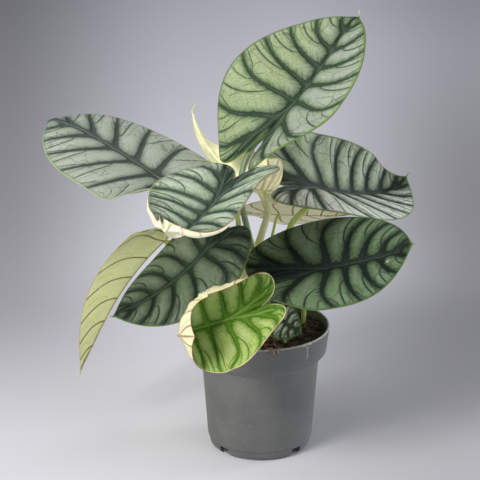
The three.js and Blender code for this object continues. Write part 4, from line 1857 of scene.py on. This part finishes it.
@dataclass
class Pot:
    """The nursery pot: a tapered body under a wider collar, with drainage notches at the foot.

    notches are the bearings in degrees of the notches, notch_size their depth, width and height about
    the floor, and notch_at how far from the axis they are cut. rounding is the radius of its corners.
    """

    height: float = 0.110
    rim_radius: float = 0.060
    collar_drop: float = 0.022
    collar_foot: float = 0.057
    body_top: float = 0.0505
    foot_radius: float = 0.0405
    wall: float = 0.0018
    rounding: float = 0.0009
    sides: int = 160
    notches: tuple[float, ...] = (225, 315, 45, 135)
    notch_size: Triple = (0.009, 0.010, 0.015)
    notch_at: float = 0.0435
    finish: PlasticFinish = PlasticFinish()

    def build(self) -> Shell:
        """Turns the wall's profile about the axis, with its corners rounded.

        The profile runs from the middle below, out over the foot, up the body and the collar, over the
        rim, and down inside to the middle of the floor.

        Returns:
            The pot without its notches.
        """
        foot = self.height - self.collar_drop
        profile = np.array([
            [0, 0.0012], [0.036, 0.0012], [0.038, 0], [self.foot_radius, 0], [0.0435, 0.0025],
            [0.0444, 0.008], [0.0454, 0.0095], [self.body_top, foot - 0.007],
            [self.collar_foot - 0.0006, foot - 0.0008], [self.collar_foot, foot],
            [self.rim_radius - 0.0004, self.height - 0.001], [self.rim_radius - 0.0009, self.height],
            [self.rim_radius - self.wall - 0.0004, self.height],
            [self.collar_foot - self.wall, foot + 0.0015], [self.body_top - self.wall, foot - 0.0055],
            [0.0422, 0.0095], [0.0406, 0.0025], [0, 0.0025],
        ])
        return turned(rounded(profile, self.rounding), self.sides)

    def cutters(self) -> Shell:
        """The blocks that the notches are cut with: a box carried round the axis to each bearing.

        Returns:
            All blocks as one shell.
        """
        corners = np.array([[x, y, z] for x in (-1, 1) for y in (-1, 1) for z in (-1, 1)]) / 2.0
        corners = corners * self.notch_size + [self.notch_at, 0.0, 0.0]
        sides = np.array([[0, 1, 3, 2], [4, 6, 7, 5], [0, 4, 5, 1], [2, 3, 7, 6], [0, 2, 6, 4], [1, 5, 7, 3]])
        halves = np.concatenate([sides[:, [0, 1, 2]], sides[:, [0, 2, 3]]])
        blocks = []
        for degrees in self.notches:
            c, s = math.cos(math.radians(degrees)), math.sin(math.radians(degrees))
            blocks.append(Shell(corners @ np.array([[c, s, 0], [-s, c, 0], [0, 0, 1]]), halves))
        return fused(blocks)

    def make(self) -> None:
        """Builds the pot, cuts its notches and hands it to the frame."""
        pot = self.build().placed("nursery_pot")
        cutter = self.cutters().placed("notch_cutter")
        cut = pot.modifiers.new("notches", "BOOLEAN")
        cut.operation, cut.solver, cut.object = "DIFFERENCE", "EXACT", cutter
        shaped = bpy.data.meshes.new_from_object(pot.evaluated_get(bpy.context.evaluated_depsgraph_get()))
        pot.modifiers.clear()
        pot.data = shaped
        pot.data.set_sharp_from_angle(angle=SOFT_ANGLE)
        bpy.data.objects.remove(cutter)
        pot.data.materials.clear()
        hand_over(pot, self.finish.slot, [self.finish.material()], "pot")


@dataclass
class Soil:
    """Potting soil: an uneven filled body with crumbs, bark bits and root fibres on it.

    bark_share of the crumbs are bark bits, longer by bark_growth and shaped like bark_form. Fibres lie
    within fibre_ring of the axis and end inside fibre_reach. rim_roots are the bearings of the roots
    that hang over the rim, along the radii and heights of rim_path.
    """

    level: float = SOIL_LEVEL
    reach: float = 0.0558
    sides: int = 144
    rings: int = 56
    crumbs: int = 520
    crumb_size: tuple[float, float] = (0.0009, 0.0024)
    bark_share: float = 0.25
    bark_growth: float = 1.5
    bark_form: Triple = (1.9, 0.8, 0.4)
    fibres: int = 70
    fibre_ring: tuple[float, float] = (0.01, 0.052)
    fibre_length: tuple[float, float] = (0.006, 0.02)
    fibre_radius: tuple[float, float] = (0.0002, 0.0005)
    fibre_reach: float = 0.054
    fibre_sides: int = 5
    rim_roots: tuple[float, ...] = (-1.47, -1.43, -1.37, -1.3)
    rim_radius: tuple[float, float] = (0.0003, 0.0006)
    rim_path: tuple[tuple[float, float], ...] = (
        (0.0555, 0.1022), (0.0574, 0.109), (0.0588, 0.1117), (0.0607, 0.1095), (0.0605, 0.1062)
    )
    seed: int = 11
    finish: SoilFinish = SoilFinish()

    def top(self, x: Array, y: Array) -> Array:
        """Height of the soil: waves as sums of sines of x and y, and a low bank by the pot's wall.

        Args:
            x: Array of places to the right.
            y: Array of places to the back.

        Returns:
            Array of heights.
        """
        u, v = x / MM, y / MM
        bank = 2.8 * smooth_step(24.0, 50.0, np.hypot(u, v))
        slow = 0.9 * np.sin(0.21 * u + 1.0) * np.cos(0.17 * v) + 0.6 * np.sin(0.47 * u - 0.39 * v)
        fine = 0.35 * np.sin(1.1 * u + 2.0 * np.sin(0.6 * v)) * np.cos(0.9 * v - 0.7 * u)
        return self.level + (slow + fine + bank) * MM

    def body(self) -> Shell:
        """The filled body: the pot's inner profile turned about the axis, with the top raised in waves.

        Returns:
            The body's shell.
        """
        walls = np.array([
            [0, 0.0028], [0.0403, 0.0028], [0.0419, 0.0095], [0.0484, 0.0825], [0.0549, 0.0895],
            [self.reach, self.level - 0.0015],
        ])
        radii = np.linspace(self.reach - 0.0004, 0.0, self.rings)
        profile = np.concatenate([walls, np.stack([radii, np.full(self.rings, self.level)], -1)])
        shell = turned(profile, self.sides)
        x, y, z = shell.points.T
        z[:] = np.where(z > self.level - 0.0005, self.top(x, y), z)
        return shell

    def crumb(self, chance: np.random.Generator) -> Shell:
        """One crumb or bark bit: a coarse ball whose points are moved in or out and whose box is squeezed.

        Args:
            chance: Source of its random sizes.

        Returns:
            The crumb, with slot 1 where it has the bark's colour.
        """
        spread = math.sqrt(chance.uniform(0.0, 1.0)) * (self.reach - 0.002)
        angle = chance.uniform(0.0, 2.0 * math.pi)
        bark = chance.uniform() < self.bark_share
        size = chance.uniform(*self.crumb_size) * (self.bark_growth if bark else 1.0)
        ball = turned(np.array([[0, -1], [0.75, -0.6], [1, 0], [0.75, 0.6], [0, 1]]), 7)
        ball.points *= chance.uniform(0.75, 1.2, (len(ball.points), 1))
        ball.points *= np.array(self.bark_form) if bark else chance.uniform(0.75, 1.1, 3)
        turn = np.linalg.qr(chance.normal(size=(3, 3)))[0]
        turn[2] *= np.sign(np.linalg.det(turn))
        x, y = spread * math.cos(angle), spread * math.sin(angle)
        lift = self.top(np.array(x), np.array(y)) + 0.25 * size
        ball.points = ball.points @ turn * size + [x, y, float(lift)]
        ball.slots[:] = 1 if bark or chance.uniform() < self.bark_share else 0
        return ball

    def fibre(self, chance: np.random.Generator) -> Shell:
        """A thin root fibre on the soil: a rod on a smooth curve whose inner bends stray by chance.

        Args:
            chance: Source of its random place and bends.

        Returns:
            The fibre.
        """
        a, d = chance.normal(-0.2, 1.5), chance.uniform(*self.fibre_ring)
        x, y = d * math.cos(a), d * math.sin(a)
        turn, length = chance.uniform(0, 2 * math.pi), chance.uniform(*self.fibre_length)
        u, v = x + length * math.cos(turn), y + length * math.sin(turn)
        shrink = min(1.0, self.fibre_reach / math.hypot(u, v))
        u, v = u * shrink, v * shrink
        start = np.array([x, y, float(self.top(np.array(x), np.array(y))) + 0.001])
        end = np.array([u, v, float(self.top(np.array(u), np.array(v))) + 0.0008])
        radius = chance.uniform(*self.fibre_radius)
        share = np.linspace(0.0, 1.0, 6)[:, None]
        bends = start * (1 - share) + end * share
        bends[1:-1] += chance.normal(0.0, 0.0016, (4, 3)) * [1, 1, 0.35]
        return swept(smooth_path(bends, 0.0012), np.full((1, 1), radius), self.fibre_sides)

    def rim_root(self, bearing: float, chance: np.random.Generator) -> Shell:
        """A root that hangs over the pot's rim: a rod on a smooth curve along the rim path.

        Args:
            bearing: Its bearing in radians.
            chance: Source of its random bends.

        Returns:
            The root.
        """
        way = chance.normal(bearing, 0.03, len(self.rim_path))
        radius, height = np.array(self.rim_path).T
        path = np.stack([radius * np.cos(way), radius * np.sin(way), height], -1)
        thick = np.full((1, 1), chance.uniform(*self.rim_radius))
        return swept(smooth_path(path, 0.001), thick, self.fibre_sides)

    def make(self) -> None:
        """Builds and dresses the soil and hands its pieces to the frame."""
        finish = self.finish
        damp = finish.material("damp_soil", finish.dark, finish.brown)
        hand_over(self.body().placed("potting_soil"), finish.slot, [damp], "soil")
        chance = np.random.default_rng(self.seed)
        crumbs = fused([self.crumb(chance) for _ in range(self.crumbs)]).placed("soil_crumbs")
        loose = finish.material("soil_crumb", finish.dark, finish.brown)
        hand_over(crumbs, finish.slot, [loose, finish.material("bark_bit", finish.brown, finish.bark)])
        fibres = [self.fibre(chance) for _ in range(self.fibres)]
        fibres += [self.rim_root(bearing, chance) for bearing in self.rim_roots]
        roots = fused(fibres).placed("root_fibres")
        hand_over(roots, finish.slot, [finish.material("root_fibre", finish.root, finish.fibre)])


@dataclass(frozen=True)
class Lamp:
    """A square soft light: its name, place, the point it faces, side in metres, watts and screen colour."""

    name: str
    at: Triple
    aim: Triple
    size: float
    power: float
    colour: Colour

    def make(self) -> None:
        """Hangs the light, unseen by the camera."""
        data = bpy.data.lights.new(self.name, "AREA")
        data.size, data.energy, data.color = self.size, self.power, tint(self.colour)[:3]
        lamp = bpy.data.objects.new(self.name, data)
        way = unit(np.array(self.at) - np.array(self.aim))
        lamp.location = self.at
        lamp.visible_camera = False
        lamp.rotation_euler = (math.acos(way[2]), 0.0, math.atan2(way[0], -way[1]))
        bpy.context.scene.collection.objects.link(lamp)


LAMPS = (
    Lamp("key", (-1.2, -1.3, 1.3), (0.0, 0.0, 0.2), 0.7, 35.0, (255, 252, 246)),
    Lamp("fill", (1.4, -1.2, 0.5), (0.0, 0.0, 0.2), 1.4, 12.0, (246, 248, 255)),
    Lamp("edge", (0.9, 0.35, 0.16), (0.0, 0.0, 0.1), 0.3, 6.0, (255, 255, 255)),
    Lamp("left", (-1.4, -0.7, 0.5), (0.0, 0.0, 0.15), 1.0, 7.0, (255, 255, 252)),
    Lamp("top", (0.0, 0.3, 1.9), (0.0, 0.0, 0.1), 1.2, 8.0, (255, 255, 255)),
)


@dataclass
class Studio:
    """The camera, a pale floor that sweeps up into a backdrop, and soft lights.

    The sheet reaches side metres each way and lies flat from front to depth; then it sweeps up by bend
    and its wall rises to bend + wall.
    """

    camera_at: Triple = (-0.0174, -1.374, 0.667)
    camera_pitch: float = 70.7
    lens: float = 129.4
    sensor: float = 36.0
    clip: tuple[float, float] = (0.05, 30.0)
    front: float = -6.0
    depth: float = 2.7
    side: float = 6.0
    bend: float = 0.8
    wall: float = 2.4
    room: Colour = (214, 216, 222)
    room_strength: float = 0.41
    paper: PaperFinish = PaperFinish()

    def camera(self) -> None:
        """Sets the camera at the photograph's angle."""
        data = bpy.data.cameras.new("camera")
        data.lens, data.sensor_width = self.lens, self.sensor
        data.clip_start, data.clip_end = self.clip
        camera = bpy.data.objects.new("camera", data)
        camera.location = self.camera_at
        camera.rotation_euler = (math.radians(self.camera_pitch), 0.0, 0.0)
        bpy.context.scene.collection.objects.link(camera)
        bpy.context.scene.camera = camera

    def backdrop(self) -> None:
        """Lays a sheet that is flat, sweeps up in a quarter circle and ends in an upright wall."""
        flat = np.linspace(self.front, self.depth, 30)
        angle = np.radians(np.linspace(0.0, 90.0, 24))[1:]
        rise = np.linspace(0.3, self.wall, 6)
        ys = np.concatenate([flat, self.depth + self.bend * np.sin(angle), self.depth + self.bend + 0 * rise])
        zs = np.concatenate([0 * flat, self.bend - self.bend * np.cos(angle), self.bend + rise])
        xs = np.linspace(-self.side, self.side, 13)
        x, y = np.meshgrid(xs, ys)
        points = np.stack([x, y, np.broadcast_to(zs[:, None], x.shape)], -1).reshape(-1, 3)
        sheet = Shell(points, grid_faces(len(ys), len(xs))[:, ::-1]).placed("backdrop")
        sheet.data.materials.append(self.paper.material())

    def make(self) -> None:
        """Sets up the camera, the paper, the lights and the plain view of colours."""
        self.camera()
        self.backdrop()
        for lamp in LAMPS:
            lamp.make()
        world = bpy.data.worlds.new("room")
        world.use_nodes = True
        ground = world.node_tree.nodes["Background"]
        ground.inputs[0].default_value = tint(self.room)
        ground.inputs[1].default_value = self.room_strength
        bpy.context.scene.world = world
        bpy.context.scene.view_settings.view_transform = "Standard"


SILVER = BladeFinish(
    slot="blade_silver", silver=(180, 188, 174), silver_warm=(163, 175, 150), shade=(118, 132, 120),
    band=(68, 80, 74), deep=(38, 54, 40), rib=(108, 122, 108), margin=(140, 162, 112),
    under=(236, 233, 204), under_warm=(232, 230, 192), under_vein=(160, 118, 88), edge=(150, 166, 120),
    comb=0.8,
)
CUPPED_SILVER = replace(
    SILVER, silver=(192, 204, 182), silver_warm=(168, 188, 148), shade=(102, 126, 104),
    band=(60, 78, 66), deep=(34, 56, 38), margin=(130, 138, 100), edge=(122, 92, 68), band_width=1.0,
    comb=1.2, plain_from=5.5,
)
YELLOW_SILVER = replace(
    SILVER, slot="blade_silver_yellow", silver=(168, 177, 164), silver_warm=(152, 172, 100),
    shade=(90, 116, 78), band=(56, 74, 60), deep=(30, 58, 28), rib=(96, 116, 92), margin=(86, 116, 56),
    edge=(108, 132, 70), comb=1.9, patchy=0.2, warm_left=0.6, speck=0.4, band_width=1.05,
    joint_patch=5.0,
)
PLEATED_SILVER = replace(
    SILVER, silver=(176, 190, 166), silver_warm=(150, 172, 128), shade=(90, 108, 90), band=(50, 62, 56),
    deep=(26, 42, 28), rib=(84, 98, 86), margin=(104, 126, 76), edge=(112, 130, 84), joint_patch=18.0,
    pale_right=0.95,
)
DARK = replace(
    SILVER, slot="blade_dark", silver=(116, 138, 108), silver_warm=(94, 122, 78), shade=(54, 78, 50),
    band=(18, 34, 30), deep=(10, 26, 18), rib=(50, 72, 50), margin=(70, 94, 46), under=(182, 192, 146),
    under_warm=(176, 186, 136), under_vein=(140, 120, 84), edge=(92, 110, 60), joint_patch=14.0,
    comb=2.2, halo=5.0, band_width=1.5, scar=(0.9, 5.4),
)
DARK_SILVER = replace(
    DARK, silver=(108, 121, 100), silver_warm=(88, 106, 77), shade=(58, 78, 56), band=(24, 42, 28),
    deep=(13, 30, 16), rib=(60, 80, 56), comb=1.8, halo=5.0, band_width=0.95, scar=None, speck=0.2,
    joint_patch=8.0,
)
SMALL_SILVER = replace(
    DARK_SILVER, silver=(186, 196, 176), silver_warm=(170, 184, 154), shade=(130, 146, 124),
    band=(62, 82, 62), band_width=0.25, halo=1.2, comb=0.6, joint_patch=3.0,
)
GREEN = replace(
    SILVER, slot="blade_green", silver=(190, 206, 134), silver_warm=(168, 196, 92), shade=(118, 154, 56),
    band=(92, 136, 36), deep=(68, 110, 18), rib=(140, 170, 90), margin=(214, 212, 158),
    under=(222, 222, 184), under_warm=(214, 213, 168), under_vein=(150, 104, 78), edge=(130, 84, 66),
    band_width=0.9, halo=3.6, comb=1.8, joint_patch=4.0,
)
# PALE's under colours are the hanging blade's pale under face, raised in part as painted light shining
# through it.
PALE = replace(
    SILVER, slot="blade_pale", silver=(168, 182, 130), silver_warm=(150, 168, 112), shade=(120, 140, 84),
    band=(96, 118, 74), deep=(78, 98, 60), rib=(150, 166, 110), margin=(160, 166, 104),
    under=(233, 237, 174), under_warm=(226, 231, 160), under_vein=(112, 84, 50), edge=(176, 164, 112),
)
# PALE_CREAM's under colours are raised further, near white, as painted light shining through the back blade,
# which faces down into shade.
PALE_CREAM = replace(PALE, under=(250, 249, 210), under_warm=(244, 243, 196), under_vein=(150, 98, 66))
# CREAM's upper colours are the young blade's cream, raised further as painted light against the shade that
# the crown casts on it.
CREAM = replace(
    SILVER, slot="blade_cream", silver=(244, 242, 204), silver_warm=(236, 236, 184), shade=(196, 198, 130),
    band=(168, 172, 96), deep=(150, 156, 80), rib=(210, 208, 150), margin=(228, 220, 170),
    under=(238, 237, 198), under_warm=(230, 231, 178), under_vein=(170, 112, 86), edge=(196, 182, 130),
    plain_from=5.0,
)
GREEN_STALK = StalkFinish("stem_green", (166, 182, 92), (176, 192, 104), (206, 212, 150))
DARK_STALK = StalkFinish("stem_green", (140, 158, 92), (84, 108, 86), (124, 146, 112))
CREAM_STALK = StalkFinish("stem_cream", (218, 218, 166), (214, 216, 158), (232, 228, 190))
FINISHES = {
    "crown": YELLOW_SILVER, "left": SILVER, "centre": CUPPED_SILVER, "right_upper": PLEATED_SILVER,
    "right_lower": DARK, "left_lower": DARK_SILVER, "hanging": PALE, "front": GREEN, "back": PALE_CREAM,
    "young": CREAM, "small": SMALL_SILVER,
}
STALKS = {"young": CREAM_STALK, "crown": DARK_STALK}


def main() -> None:
    """Builds the studio and every piece of the plant in order."""
    logging.basicConfig(level=logging.INFO, format="%(name)s: %(message)s")
    Studio().make()
    Pot().make()
    Soil().make()
    for number, form in enumerate(LEAVES):
        stalk = STALKS.get(form.name, GREEN_STALK)
        Leaf(form, FINISHES[form.name], stalk, 1.0 + 1.7 * number).make()


if __name__ == "__main__":
    main()
